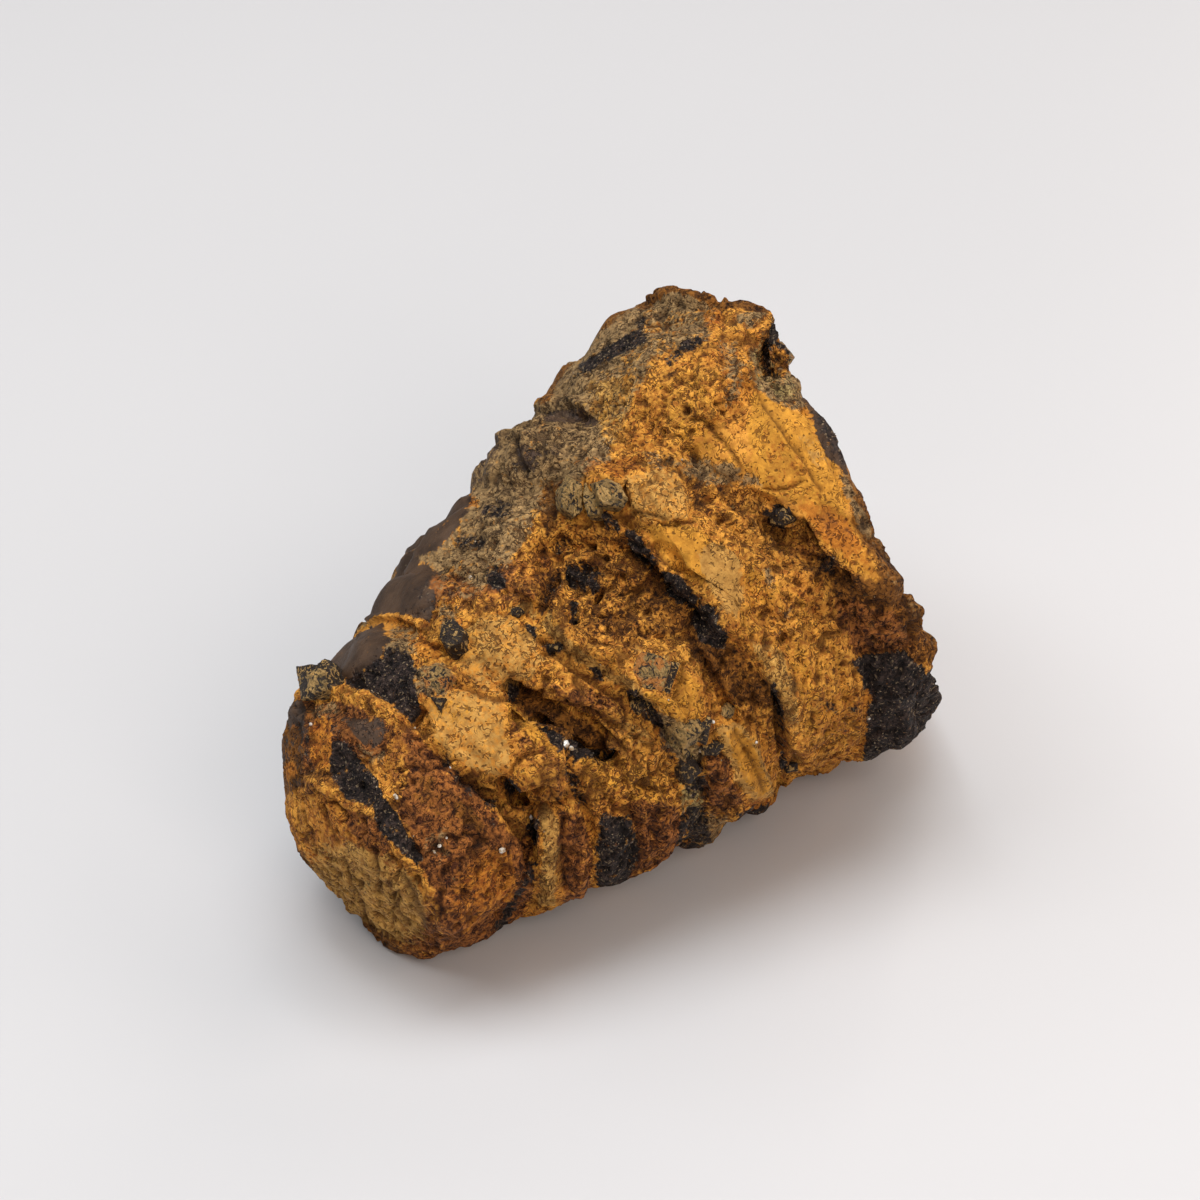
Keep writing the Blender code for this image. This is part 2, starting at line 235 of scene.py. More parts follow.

# Raised and sunk lines: height, half width, and the line.
LINES = [
    # the drum of the first chamber
    (0.5, 0.8, [
        (298, 714), (308, 698), (322, 689), (340, 687), (362, 694), (384, 706), (400, 720), (410, 732),
    ]),
    (-0.5, 0.45, [(338, 681), (356, 686), (378, 697), (400, 712), (416, 724)]),
    (-0.5, 0.4, [(416, 718), (432, 742), (446, 760), (460, 776), (480, 792), (500, 802)]),
    (0.35, 0.6, [(398, 732), (412, 752), (440, 782), (470, 812), (500, 846), (514, 872)]),
    (-0.35, 0.5, [(384, 756), (386, 786), (398, 812), (408, 836), (424, 862)]),
    (-0.4, 0.8, [(336, 756), (350, 780), (372, 800)]),
    (0.3, 0.45, [(310, 728), (308, 750), (316, 768)]),
    (0.3, 0.35, [(332, 722), (334, 744), (328, 768)]),
    (-0.3, 0.3, [(300, 724), (298, 750), (302, 782)]),
    (0.25, 0.3, [(290, 734), (288, 760), (292, 790)]),
    (-0.35, 0.25, [(364, 896), (364, 908), (367, 919)]),
    (-0.5, 0.3, [(352, 919), (366, 920), (376, 927), (386, 929)]),
    (-0.3, 0.25, [(318, 862), (324, 874), (338, 884)]),
    (-0.25, 0.22, [(326, 806), (330, 826), (338, 842)]),
    (-0.3, 0.22, [(392, 856), (402, 866), (396, 876)]),
    (-0.25, 0.2, [(392, 876), (396, 900), (394, 922)]),
    (-0.25, 0.2, [(346, 858), (352, 880), (360, 892)]),
    (0.3, 0.4, [(350, 846), (376, 862), (404, 884), (426, 912), (440, 938)]),
    (-0.2, 0.3, [(404, 872), (418, 892), (430, 920)]),
    (-0.35, 0.2, [(372, 848), (381, 866), (380, 890)]),
    (-0.3, 0.18, [(300, 812), (312, 830), (318, 850)]),
    (-0.3, 0.18, [(328, 850), (344, 858), (352, 880)]),
    (-0.3, 0.18, [(404, 884), (400, 904), (410, 924)]),
    # the second chamber
    (0.4, 0.35, [(352, 632), (368, 622), (386, 617), (404, 617), (420, 624), (438, 638)]),
    (-0.35, 0.22, [(452, 678), (466, 690), (484, 702), (507, 712)]),
    (0.3, 0.25, [(458, 674), (474, 686), (490, 694), (504, 700)]),
    (-0.3, 0.2, [(446, 660), (458, 674), (470, 680)]),
    (0.6, 0.9, [(522, 776), (546, 770)]),
    (0.35, 0.5, [(548, 778), (556, 790)]),
    (-0.35, 0.22, [(512, 768), (524, 758), (538, 756)]),
    (-2.6, 0.62, [(503, 782), (511, 786), (516, 795)]),
    (-0.8, 0.5, [(513, 797), (530, 804), (548, 804), (566, 800)]),
    (-0.7, 0.35, [(466, 778), (478, 784), (492, 796), (500, 806), (512, 822), (524, 838)]),
    (-1.0, 0.45, [(530, 814), (535, 828), (529, 846), (532, 860)]),
    (-0.7, 0.42, [(533, 858), (528, 880), (514, 898), (500, 916)]),
    (0.75, 0.7, [(545, 812), (552, 846), (548, 884)]),
    (-0.4, 0.35, [(562, 822), (560, 850), (564, 885)]),
    (0.4, 0.8, [(576, 825), (582, 856), (578, 888)]),
    (-0.7, 0.42, [(560, 760), (570, 782), (582, 800), (590, 820), (594, 845), (594, 880)]),
    # the third chamber
    (-1.2, 0.5, [(507, 684), (512, 692), (518, 700)]),
    (-1.3, 1.0, [(514, 694), (540, 706), (566, 718), (596, 738)]),
    (-2.0, 0.5, [(534, 722), (550, 734), (566, 743), (588, 753), (612, 756)]),
    (0.8, 0.4, [(505, 701), (520, 714), (534, 730), (548, 744), (562, 757)]),
    (0.4, 0.5, [(530, 684), (560, 690), (600, 704), (640, 732), (656, 748)]),
    (-0.4, 0.3, [(526, 700), (556, 708), (590, 722)]),
    (-0.45, 0.3, [(560, 702), (590, 710), (620, 726)]),
    (0.35, 0.35, [(540, 714), (566, 724), (584, 736)]),
    (-0.4, 0.35, [(600, 730), (622, 748), (636, 766)]),
    (0.4, 0.4, [(612, 744), (634, 762), (650, 786), (662, 806)]),
    (0.4, 0.9, [(604, 816), (616, 840), (608, 872)]),
    (-0.5, 0.4, [(632, 806), (640, 840), (630, 874)]),
    (0.4, 0.8, [(655, 800), (664, 835)]),
    (0.6, 0.6, [(655, 710), (672, 736), (684, 764), (690, 800)]),
    # the third septum: a thin bright ridge
    (0.8, 0.8, [(512, 608), (530, 607), (548, 612)]),
    (0.85, 0.5, [(520, 604), (540, 614), (556, 630), (566, 644), (582, 655), (600, 662)]),
    (0.5, 0.5, [(600, 662), (618, 676), (634, 686)]),
    (0.8, 0.45, [(630, 686), (648, 694), (664, 708), (680, 724), (694, 732)]),
    (-0.6, 0.4, [(632, 698), (646, 708), (658, 722), (668, 734)]),
    (-0.5, 0.35, [(540, 640), (562, 660), (590, 680), (622, 700)]),
    (-0.5, 0.25, [(684, 664), (678, 682), (668, 698)]),
    # the fourth chamber: an eaten hollow
    (-1.1, 0.6, [(540, 608), (546, 592), (554, 576)]),
    (0.5, 0.4, [(560, 594), (562, 576), (572, 562), (590, 556)]),
    (-0.8, 0.45, [(566, 574), (580, 584), (598, 592)]),
    (-0.8, 0.4, [(578, 602), (573, 622)]),
    (-0.6, 0.45, [(604, 614), (626, 618)]),
    (-0.5, 0.4, [(556, 540), (566, 546), (590, 546)]),
    (0.4, 0.4, [(584, 560), (612, 566), (640, 590)]),
    (-0.8, 0.6, [(616, 548), (640, 568), (662, 596)]),
    (-0.6, 0.5, [(690, 640), (716, 680), (738, 720)]),
    (0.45, 0.5, [(702, 650), (728, 690), (750, 732), (762, 776)]),
    (-0.5, 0.4, [(742, 676), (758, 706), (766, 744)]),
    (0.3, 0.25, [(722, 730), (738, 758), (752, 790)]),
    (-0.15, 0.2, [(732, 728), (748, 754), (762, 790)]),
    (-0.7, 0.3, [(772, 686), (779, 712), (780, 740), (784, 768)]),
    # the fourth septum: a knobby black ridge, and below it a dark step
    (0.3, 0.45, [(604, 514), (622, 528), (646, 546), (662, 566), (682, 588), (704, 606), (720, 628)]),
    (-0.8, 0.45, [(636, 560), (652, 578), (672, 602), (690, 620)]),
    (-0.5, 0.3, [(655, 546), (662, 560)]),
    (-0.5, 0.3, [(690, 592), (697, 602)]),
    (-0.5, 0.35, [(624, 520), (636, 528)]),
    # the fifth chamber
    (0.4, 0.5, [(506, 444), (530, 446), (560, 454)]),
    (-0.4, 0.4, [(508, 480), (514, 460), (522, 446)]),
    (-0.45, 0.3, [(526, 450), (532, 474)]),
    (-0.35, 0.3, [(548, 486), (556, 504), (552, 530)]),
    (-0.4, 0.2, [(656, 525), (674, 527), (692, 523)]),
    (-0.35, 0.2, [(640, 494), (652, 488), (658, 480)]),
    (-0.35, 0.2, [(616, 480), (626, 490), (630, 506)]),
    (-0.35, 0.2, [(632, 514), (650, 514), (668, 520)]),
    (-0.6, 0.5, [(693, 480), (692, 500), (690, 512)]),
    (-0.45, 0.5, [(704, 508), (730, 526), (758, 546), (790, 566)]),
    (-0.5, 0.7, [(700, 494), (740, 502), (776, 528), (806, 556), (838, 576)]),
    (0.8, 0.45, [(764, 510), (778, 514), (790, 524)]),
    (-0.5, 0.35, [(772, 524), (782, 534)]),
    (0.4, 0.6, [(806, 574), (826, 566)]),
    (0.35, 0.9, [(762, 570), (792, 630), (814, 690)]),
    (-0.35, 0.5, [(748, 606), (776, 652), (800, 700)]),
    (-0.3, 0.4, [(812, 604), (834, 650), (848, 700)]),
    (-0.6, 0.35, [(776, 694), (780, 726), (784, 756)]),
    (-0.5, 0.35, [(788, 740), (794, 756), (788, 768)]),
    (0.5, 0.4, [(782, 770), (798, 767)]),
    # the last chamber
    (0.7, 0.7, [(540, 408), (566, 404), (592, 410)]),
    (-0.3, 0.2, [(746, 372), (752, 390), (764, 410), (782, 434), (800, 458), (820, 492)]),
    (0.15, 0.25, [(751, 368), (760, 390), (775, 412), (792, 436), (810, 462), (826, 490)]),
    (-0.3, 0.18, [(767, 487), (780, 488), (790, 486), (801, 481)]),
    (-0.35, 0.2, [(690, 419), (704, 420), (712, 430), (720, 440)]),
    (-0.25, 0.2, [(722, 440), (734, 452), (742, 466)]),
    (-0.5, 0.24, [(804, 516), (814, 534), (832, 556), (852, 576)]),
    (0.45, 0.22, [(800, 514), (810, 532), (826, 550), (842, 566)]),
    (-1.3, 0.5, [(769, 344), (765, 358), (770, 374)]),
    (-1.2, 0.5, [(774, 332), (782, 342), (792, 356)]),
    (-1.1, 0.4, [(772, 376), (790, 371)]),
    (0.5, 0.7, [(752, 350), (747, 376), (760, 398)]),
    (-0.4, 0.4, [(650, 304), (680, 303), (716, 306)]),
    (-0.6, 0.45, [(806, 412), (822, 442), (836, 470), (848, 500)]),
    (-0.45, 0.35, [(852, 520), (876, 560), (896, 596), (912, 636)]),
    (0.35, 0.5, [(704, 350), (702, 385), (714, 416)]),
    (-0.15, 0.7, [(728, 346), (724, 380), (736, 412), (760, 446)]),
    (0.3, 0.5, [(742, 336), (740, 364), (750, 392), (774, 428), (800, 466), (822, 498), (846, 516)]),
    (-0.4, 0.4, [(866, 664), (868, 700), (866, 744)]),
    (0.3, 0.6, [(876, 690), (900, 700), (908, 730)]),
]

# Ledges: height, how far the raised side runs back, and the line, whose right side is raised as it runs.
LEDGES = [
    (0.55, 1.6, [(504, 782), (486, 778), (466, 774), (446, 758), (430, 738), (420, 718)]),
    (1.2, 2.6, [
        (786, 764), (784, 728), (776, 696), (756, 664), (724, 630), (704, 600), (684, 572), (656, 540),
        (620, 512),
    ]),
    (0.95, 2.0, [(890, 606), (856, 578), (828, 548), (806, 520), (776, 500), (742, 482)]),
    (0.8, 1.6, [
        (694, 734), (660, 702), (632, 686), (600, 664), (580, 654), (556, 632), (540, 612), (510, 602),
    ]),
    (0.8, 1.6, [(522, 716), (546, 739), (564, 754), (588, 762), (616, 762)]),
    (0.6, 1.4, [(498, 664), (507, 684), (504, 702), (516, 716)]),
    (0.7, 1.4, [(534, 888), (538, 850), (536, 812), (520, 792)]),
    (0.55, 1.2, [(597, 884), (592, 850), (588, 812), (574, 780)]),
    (0.5, 1.4, [(724, 806), (706, 770), (700, 744)]),
    (0.6, 1.5, [
        (446, 948), (438, 908), (420, 868), (392, 846), (372, 820), (344, 804), (322, 788), (284, 800),
    ]),
]

# Knobs and single pits: height, half width, and the places.
KNOBS = [
    (0.5, 0.45, [
        (612, 520), (630, 536), (648, 552), (668, 574), (682, 588), (704, 610), (714, 624), (676, 582),
    ]),
    (0.45, 0.35, [(604, 512), (622, 530), (640, 542), (654, 562), (694, 602), (718, 616), (662, 568)]),
    (0.4, 0.5, [
        (640, 812), (656, 828), (668, 806), (676, 830), (650, 848), (638, 866), (664, 848), (646, 798),
    ]),
    (-0.9, 0.36, [
        (566, 572), (578, 588), (598, 590), (572, 606), (577, 620), (606, 612), (616, 622), (604, 560),
        (622, 576),
    ]),
    (-0.7, 0.32, [
        (640, 590), (556, 556), (590, 548), (560, 536), (632, 560), (660, 586), (676, 606), (650, 612),
        (588, 606),
    ]),
    (-0.6, 0.3, [
        (692, 480), (694, 500), (714, 498), (736, 506), (752, 524), (722, 520), (770, 540), (792, 552),
        (812, 566),
    ]),
    (-0.55, 0.28, [
        (640, 374), (664, 390), (700, 366), (706, 392), (724, 376), (716, 404), (664, 430), (640, 440),
        (684, 410),
    ]),
    (-0.55, 0.28, [
        (600, 770), (616, 764), (596, 786), (622, 782), (640, 776), (632, 796), (612, 800), (650, 790),
        (584, 800),
    ]),
    (-0.5, 0.3, [
        (722, 664), (740, 690), (730, 650), (748, 720), (756, 700), (712, 690), (764, 730), (746, 750),
    ]),
    (-0.6, 0.3, [
        (540, 690), (566, 700), (590, 712), (612, 724), (636, 736), (600, 696), (626, 706), (560, 716),
        (584, 728),
    ]),
    (-0.35, 0.26, [
        (790, 600), (812, 640), (804, 670), (826, 690), (846, 700), (834, 722), (780, 640), (852, 736),
    ]),
    (0.5, 0.3, [
        (654, 290), (664, 282), (676, 278), (692, 284), (708, 294), (724, 302), (740, 304), (752, 305),
    ]),
    (0.2, 0.6, [
        (880, 680), (900, 690), (886, 710), (908, 716), (880, 736), (898, 736), (920, 690), (874, 700),
    ]),
    (0.35, 0.4, [(828, 706), (850, 708), (832, 726), (526, 630), (514, 612), (544, 648)]),
    (-0.4, 0.25, [
        (578, 650), (598, 656), (604, 672), (620, 664), (590, 640), (616, 640), (640, 636), (606, 634),
    ]),
]

# Broad swells that fill out the sides: height, half width, and where the middle is.
SWELLS = [
    (1.3, 5.0, (520, 452)),
    (0.9, 4.5, (626, 326)),
    (1.0, 4.5, (884, 590)),
    (0.6, 3.5, (832, 440)),
    (0.5, 2.5, (752, 306)),
    (-1.6, 3.5, (440, 508)),
    (-2.1, 3.0, (404, 556)),
    (-1.4, 4.0, (376, 590)),
    (-1.5, 3.0, (356, 618)),
    (-0.6, 3.0, (340, 652)),
    (-0.7, 3.5, (576, 356)),
    (-0.6, 2.5, (498, 434)),
    (-0.5, 3.0, (640, 290)),
    (-1.3, 4.0, (936, 690)),
    (-0.45, 2.0, (938, 698)),
    (0.5, 2.4, (930, 652)),
    (0.4, 2.2, (916, 722)),
    (-0.5, 3.0, (906, 570)),
    (-0.5, 4.5, (290, 790)),
    (-0.6, 4.5, (320, 890)),
    (-0.4, 4.5, (440, 950)),
    (-0.7, 4.0, (800, 780)),
    (-0.7, 2.0, (797, 788)),
    (0.8, 2.5, (758, 806)),
    (0.6, 2.5, (700, 846)),
]

# Plates and hollows: height, width of the edge, how much smoother the skin is on it, and the outline.
PLATES = [
    (0.3, 0.14, 0.85, [
        (424, 704), (450, 690), (476, 692), (504, 704), (507, 736), (512, 768), (498, 777), (470, 768),
        (448, 752), (432, 730),
    ]),
    (0.22, 0.15, 0.6, [
        (464, 632), (482, 616), (512, 616), (532, 634), (546, 660), (530, 678), (508, 684), (500, 697),
        (482, 690), (462, 668), (452, 650),
    ]),
    (0.15, 0.3, 0.97, [(306, 690), (326, 650), (356, 612), (396, 622), (394, 642), (372, 664), (348, 678)]),
    (0.25, 0.3, 0.97, [
        (346, 620), (380, 570), (412, 548), (436, 566), (440, 588), (430, 606), (412, 615), (384, 616),
    ]),
    (0.25, 0.3, 0.97, [(404, 556), (430, 500), (452, 480), (474, 510), (458, 528), (442, 556)]),
    (0.15, 0.25, 0.9, [(460, 500), (470, 440), (500, 410), (512, 440), (500, 480), (484, 500)]),
    (0.1, 0.3, 0.8, [
        (540, 400), (570, 350), (620, 300), (652, 300), (620, 326), (596, 348), (570, 376), (556, 408),
    ]),
    (0.18, 0.25, 0.9, [(338, 722), (380, 718), (388, 742), (374, 748), (356, 742), (342, 736)]),
    (0.15, 0.25, 0.5, [(258, 730), (300, 722), (302, 782), (290, 806), (256, 800)]),
    (-0.5, 0.4, 0.0, [
        (536, 548), (566, 534), (604, 534), (650, 562), (692, 606), (712, 640), (698, 652), (652, 618),
        (602, 616), (566, 628), (548, 610),
    ]),
    (0.3, 0.15, 0.8, [(640, 602), (662, 600), (686, 612), (682, 630), (652, 638), (644, 620)]),
    (0.4, 0.12, 0.7, [(668, 698), (682, 662), (704, 684), (704, 714), (692, 732)]),
    (0.32, 0.15, 0.6, [
        (624, 476), (650, 470), (676, 474), (690, 494), (686, 518), (656, 522), (634, 512), (628, 492),
    ]),
    (0.2, 0.15, 0.92, [(642, 532), (672, 528), (704, 534), (710, 556), (696, 580), (670, 566)]),
    (0.15, 0.2, 0.85, [(704, 556), (730, 548), (746, 572), (748, 606), (734, 622), (718, 602), (700, 580)]),
    (0.15, 0.3, 0.85, [
        (746, 388), (762, 392), (800, 412), (812, 424), (838, 470), (848, 502), (872, 548), (904, 602),
        (880, 592), (838, 558), (806, 520), (764, 500), (706, 470), (684, 442), (716, 430), (750, 430),
    ]),
    (0.25, 0.2, 0.2, [(470, 592), (500, 560), (520, 570), (524, 596), (500, 610), (476, 612)]),
    (0.25, 0.2, 0.3, [
        (852, 658), (884, 652), (908, 656), (960, 676), (950, 740), (900, 770), (864, 760), (868, 700),
    ]),
    (0.45, 0.2, 0.4, [(648, 304), (652, 276), (672, 262), (706, 268), (720, 300), (700, 303), (676, 303)]),
    (-0.3, 0.25, 0.9, [(802, 398), (830, 396), (866, 476), (854, 492), (836, 464), (812, 426)]),
    (0.2, 0.2, 0.1, [
        (280, 804), (300, 788), (322, 788), (346, 806), (376, 822), (394, 846), (421, 868), (440, 912),
        (446, 960), (380, 960), (320, 900), (280, 850),
    ]),
    (0.6, 0.2, 0.3, [
        (562, 490), (574, 476), (590, 462), (606, 470), (622, 484), (628, 500), (614, 510), (600, 518),
        (578, 520), (562, 510),
    ]),
    (0.4, 0.15, 0.4, [(436, 628), (446, 618), (460, 622), (464, 636), (450, 646), (440, 640)]),
    (0.15, 0.2, 0.85, [(718, 728), (738, 722), (758, 752), (772, 794), (754, 802), (736, 776)]),
    (0.3, 0.15, 0.2, [(420, 672), (436, 664), (450, 674), (448, 692), (430, 696)]),
]

# Colour: the pigment, how strong it is, how soft its edge is, and the outline. Later ones lie over earlier
# ones, and ochre is the bare skin.
STAINS = [
    # the last chamber
    ("patina", 0.9, 0.6, [
        (540, 400), (560, 360), (600, 318), (650, 288), (700, 280), (722, 312), (708, 340), (696, 352),
        (656, 366), (640, 392), (622, 436), (606, 462), (560, 430), (536, 412),
    ]),
    ("umber", 0.3, 0.3, [
        (520, 420), (560, 330), (620, 280), (650, 286), (650, 306), (620, 324), (596, 346), (570, 372),
        (556, 404),
    ]),
    ("umber", 0.75, 0.15, [
        (530, 412), (548, 372), (580, 336), (612, 306), (648, 284), (648, 298), (616, 318), (588, 344),
        (562, 376), (546, 408),
    ]),
    ("ochre", 0.24, 0.8, [
        (650, 300), (716, 300), (704, 345), (656, 366), (640, 396), (622, 440), (598, 478), (566, 470),
        (596, 410), (622, 350),
    ]),
    ("umber", 0.75, 0.2, [(510, 448), (530, 443), (562, 452), (556, 466), (530, 472), (512, 468)]),
    ("black", 0.45, 0.15, [(514, 450), (530, 447), (536, 456), (520, 464)]),
    ("umber", 0.5, 0.3, [(590, 380), (612, 372), (618, 392), (600, 402)]),
    ("patina", 0.6, 0.4, [(716, 340), (740, 340), (744, 400), (730, 408), (716, 390)]),
    ("pale", 0.4, 0.5, [(590, 378), (636, 374), (632, 440), (600, 450), (574, 410)]),
    ("ochre", 0.9, 0.5, [
        (650, 366), (700, 348), (722, 352), (726, 400), (690, 430), (676, 460), (640, 462), (612, 466),
        (626, 430), (640, 392),
    ]),
    ("gold", 0.45, 0.5, [(654, 380), (690, 362), (720, 372), (724, 420), (690, 440), (650, 450), (640, 410)]),
    ("orange", 0.45, 0.4, [(636, 400), (664, 392), (670, 430), (650, 460), (620, 466), (622, 430)]),
    ("gold", 0.5, 0.4, [(684, 426), (722, 432), (760, 452), (784, 492), (740, 478), (700, 466), (676, 448)]),
    ("patina", 0.55, 0.4, [(640, 450), (700, 456), (740, 470), (760, 486), (700, 482), (650, 472)]),
    ("gold", 0.9, 0.15, [
        (750, 392), (764, 394), (800, 412), (814, 426), (838, 468), (850, 508), (836, 516), (800, 504),
        (764, 492), (748, 440),
    ]),
    ("orange", 0.4, 0.4, [(760, 420), (790, 440), (830, 500), (800, 506), (766, 494)]),
    ("gold", 0.7, 0.3, [(796, 500), (842, 506), (868, 546), (910, 606), (884, 596), (846, 570), (818, 540)]),
    ("orange", 0.75, 0.25, [(792, 500), (836, 506), (862, 546), (850, 560), (822, 540)]),
    ("umber", 0.45, 0.3, [(798, 502), (836, 508), (858, 542), (840, 552), (816, 530)]),
    ("orange", 0.5, 0.3, [(800, 510), (846, 516), (872, 556), (900, 600), (850, 566), (822, 540)]),
    ("rust", 0.35, 0.4, [(806, 512), (846, 510), (860, 540), (830, 546)]),
    ("pale", 0.5, 0.3, [(800, 430), (818, 440), (830, 466), (816, 468), (804, 452)]),
    ("black", 0.85, 0.15, [
        (576, 374), (582, 362), (600, 350), (622, 336), (645, 326), (646, 344), (626, 354), (600, 364),
        (590, 376),
    ]),
    ("black", 0.6, 0.2, [(632, 322), (646, 312), (652, 322), (638, 330)]),
    ("black", 0.75, 0.2, [(676, 346), (700, 332), (704, 342), (690, 352), (670, 366), (662, 362)]),
    ("umber", 0.7, 0.2, [(660, 374), (684, 364), (676, 380), (664, 382)]),
    ("orange", 0.5, 0.4, [(700, 306), (724, 308), (730, 330), (716, 336), (704, 324)]),
    ("patina", 0.7, 0.3, [(736, 300), (764, 296), (768, 316), (752, 332), (736, 322)]),
    ("patina", 0.9, 0.2, [(646, 308), (654, 278), (676, 260), (712, 270), (726, 304), (690, 310)]),
    ("umber", 1.0, 0.12, [
        (638, 308), (648, 274), (668, 250), (702, 254), (724, 282), (770, 292), (776, 314), (760, 312),
        (724, 309), (706, 302), (692, 295), (676, 292), (664, 296), (652, 308),
    ]),
    ("olive", 0.75, 0.2, [(750, 352), (764, 332), (769, 376), (772, 398), (758, 394)]),
    ("patina", 0.4, 0.4, [(744, 350), (764, 344), (762, 376), (770, 396), (752, 390), (744, 370)]),
    ("umber", 0.7, 0.15, [
        (760, 334), (772, 322), (790, 326), (816, 362), (796, 374), (776, 379), (762, 374),
    ]),
    ("black", 1.0, 0.15, [(763, 344), (770, 336), (772, 372), (784, 376), (766, 378)]),
    ("black", 1.0, 0.15, [(770, 322), (790, 326), (812, 356), (796, 362), (782, 346), (772, 338)]),
    ("patina", 0.8, 0.2, [
        (758, 384), (770, 376), (790, 372), (808, 366), (816, 396), (806, 410), (788, 408), (768, 398),
    ]),
    ("olive", 0.5, 0.2, [(766, 380), (790, 376), (802, 400), (780, 402)]),
    ("black", 0.35, 0.15, [(768, 374), (790, 376), (798, 392), (780, 392)]),
    ("glaze", 1.0, 0.15, [
        (800, 396), (830, 392), (876, 474), (856, 490), (842, 470), (830, 462), (812, 424),
    ]),
    ("black", 0.9, 0.2, [(808, 392), (830, 392), (880, 470), (862, 486), (844, 468), (828, 440), (814, 414)]),
    ("patina", 0.85, 0.2, [
        (838, 474), (880, 482), (914, 540), (946, 610), (950, 640), (930, 650), (912, 630), (896, 596),
        (866, 540), (850, 512),
    ]),
    ("umber", 0.9, 0.15, [
        (846, 476), (880, 470), (912, 530), (944, 590), (966, 640), (946, 640), (924, 602), (896, 560),
        (874, 530), (858, 502),
    ]),
    ("black", 0.7, 0.15, [
        (852, 474), (880, 474), (900, 520), (930, 580), (912, 580), (884, 540), (868, 508),
    ]),
    ("umber", 0.7, 0.25, [
        (860, 536), (882, 534), (900, 570), (936, 610), (966, 640), (966, 680), (934, 670), (910, 640),
        (890, 600), (866, 556),
    ]),
    ("orange", 0.4, 0.2, [(900, 626), (920, 650), (930, 668), (916, 664), (902, 644)]),
    ("umber", 0.95, 0.3, [
        (832, 576), (866, 574), (900, 600), (930, 640), (926, 664), (890, 660), (854, 656), (838, 620),
    ]),
    ("rust", 0.6, 0.4, [(832, 596), (868, 590), (900, 616), (916, 650), (880, 656), (850, 652), (836, 620)]),
    ("umber", 0.8, 0.3, [(834, 578), (866, 576), (890, 598), (884, 612), (852, 600), (838, 600)]),
    ("black", 0.35, 0.3, [(838, 580), (860, 580), (874, 596), (850, 596)]),
    # the fifth chamber
    ("gold", 0.5, 0.6, [
        (730, 620), (744, 560), (800, 590), (850, 660), (864, 740), (800, 756), (784, 700), (756, 660),
    ]),
    ("orange", 0.35, 0.5, [(800, 620), (836, 620), (856, 680), (860, 740), (820, 740), (806, 680)]),
    ("pale", 0.7, 0.35, [(752, 640), (784, 652), (800, 700), (796, 740), (782, 710), (766, 680)]),
    ("umber", 0.45, 0.35, [
        (690, 480), (726, 482), (764, 500), (800, 536), (836, 562), (862, 582), (846, 596), (810, 578),
        (770, 556), (730, 528), (698, 514),
    ]),
    ("patina", 0.45, 0.35, [(676, 460), (740, 462), (764, 486), (700, 484)]),
    ("umber", 0.6, 0.25, [(692, 480), (702, 484), (700, 512), (690, 516)]),
    ("rust", 0.4, 0.35, [(780, 528), (830, 548), (856, 576), (826, 574), (790, 556)]),
    ("umber", 0.6, 0.3, [(796, 548), (836, 556), (848, 578), (816, 576)]),
    ("black", 0.9, 0.15, [(764, 512), (776, 504), (790, 506), (796, 520), (784, 530), (770, 526)]),
    ("black", 0.6, 0.25, [(818, 556), (838, 556), (836, 574), (818, 572)]),
    ("rust", 0.4, 0.4, [(760, 604), (800, 596), (806, 640), (790, 652), (766, 640)]),
    ("patina", 0.35, 0.3, [(766, 600), (796, 604), (792, 636), (768, 630)]),
    ("patina", 0.7, 0.2, [(762, 566), (774, 568), (776, 590), (766, 592)]),
    ("black", 0.6, 0.15, [(826, 702), (838, 702), (838, 712), (828, 714)]),
    ("black", 0.6, 0.15, [(846, 704), (860, 706), (856, 714), (846, 714)]),
    ("umber", 0.5, 0.15, [(822, 722), (838, 720), (836, 732), (824, 734)]),
    ("umber", 0.25, 0.3, [(782, 700), (800, 720), (804, 776), (786, 780), (782, 730)]),
    ("orange", 0.45, 0.4, [(800, 744), (862, 738), (870, 780), (820, 790), (796, 784)]),
    ("black", 1.0, 0.15, [
        (850, 662), (858, 656), (880, 654), (906, 652), (926, 668), (962, 676), (950, 730), (900, 776),
        (862, 776), (866, 740), (868, 692), (862, 674),
    ]),
    ("pale", 0.6, 0.15, [(622, 476), (652, 468), (678, 474), (692, 496), (688, 518), (656, 522), (630, 512)]),
    ("orange", 0.8, 0.2, [(602, 462), (640, 456), (640, 470), (624, 478), (608, 480)]),
    ("gold", 0.8, 0.2, [(640, 524), (676, 520), (712, 536), (722, 560), (704, 590), (668, 570)]),
    ("gold", 1.0, 0.12, [(650, 532), (680, 532), (706, 544), (712, 562), (700, 584), (672, 568)]),
    ("pale", 1.0, 0.12, [
        (704, 546), (722, 543), (740, 560), (745, 592), (738, 616), (722, 608), (708, 586), (700, 564),
    ]),
    ("patina", 0.9, 0.5, [
        (452, 500), (460, 450), (500, 406), (548, 404), (596, 416), (606, 460), (580, 482), (548, 516),
        (510, 510),
    ]),
    ("glaze", 0.5, 0.4, [(456, 500), (462, 450), (496, 410), (508, 440), (490, 480)]),
    ("glaze", 0.85, 0.2, [(542, 412), (580, 408), (600, 420), (594, 428), (566, 422), (546, 422)]),
    ("black", 0.5, 0.2, [(560, 412), (584, 410), (598, 422), (580, 424)]),
    ("black", 0.6, 0.2, [(510, 446), (530, 440), (540, 450), (536, 474), (524, 466), (512, 478)]),
    ("glaze", 0.6, 0.2, [(510, 440), (556, 448), (562, 454), (540, 458), (536, 474), (520, 470)]),
    ("umber", 0.75, 0.25, [(540, 480), (562, 480), (566, 510), (548, 540), (538, 512)]),
    ("rust", 0.4, 0.3, [(570, 462), (600, 456), (608, 472), (590, 478)]),
    # the fourth chamber
    ("patina", 0.8, 0.4, [
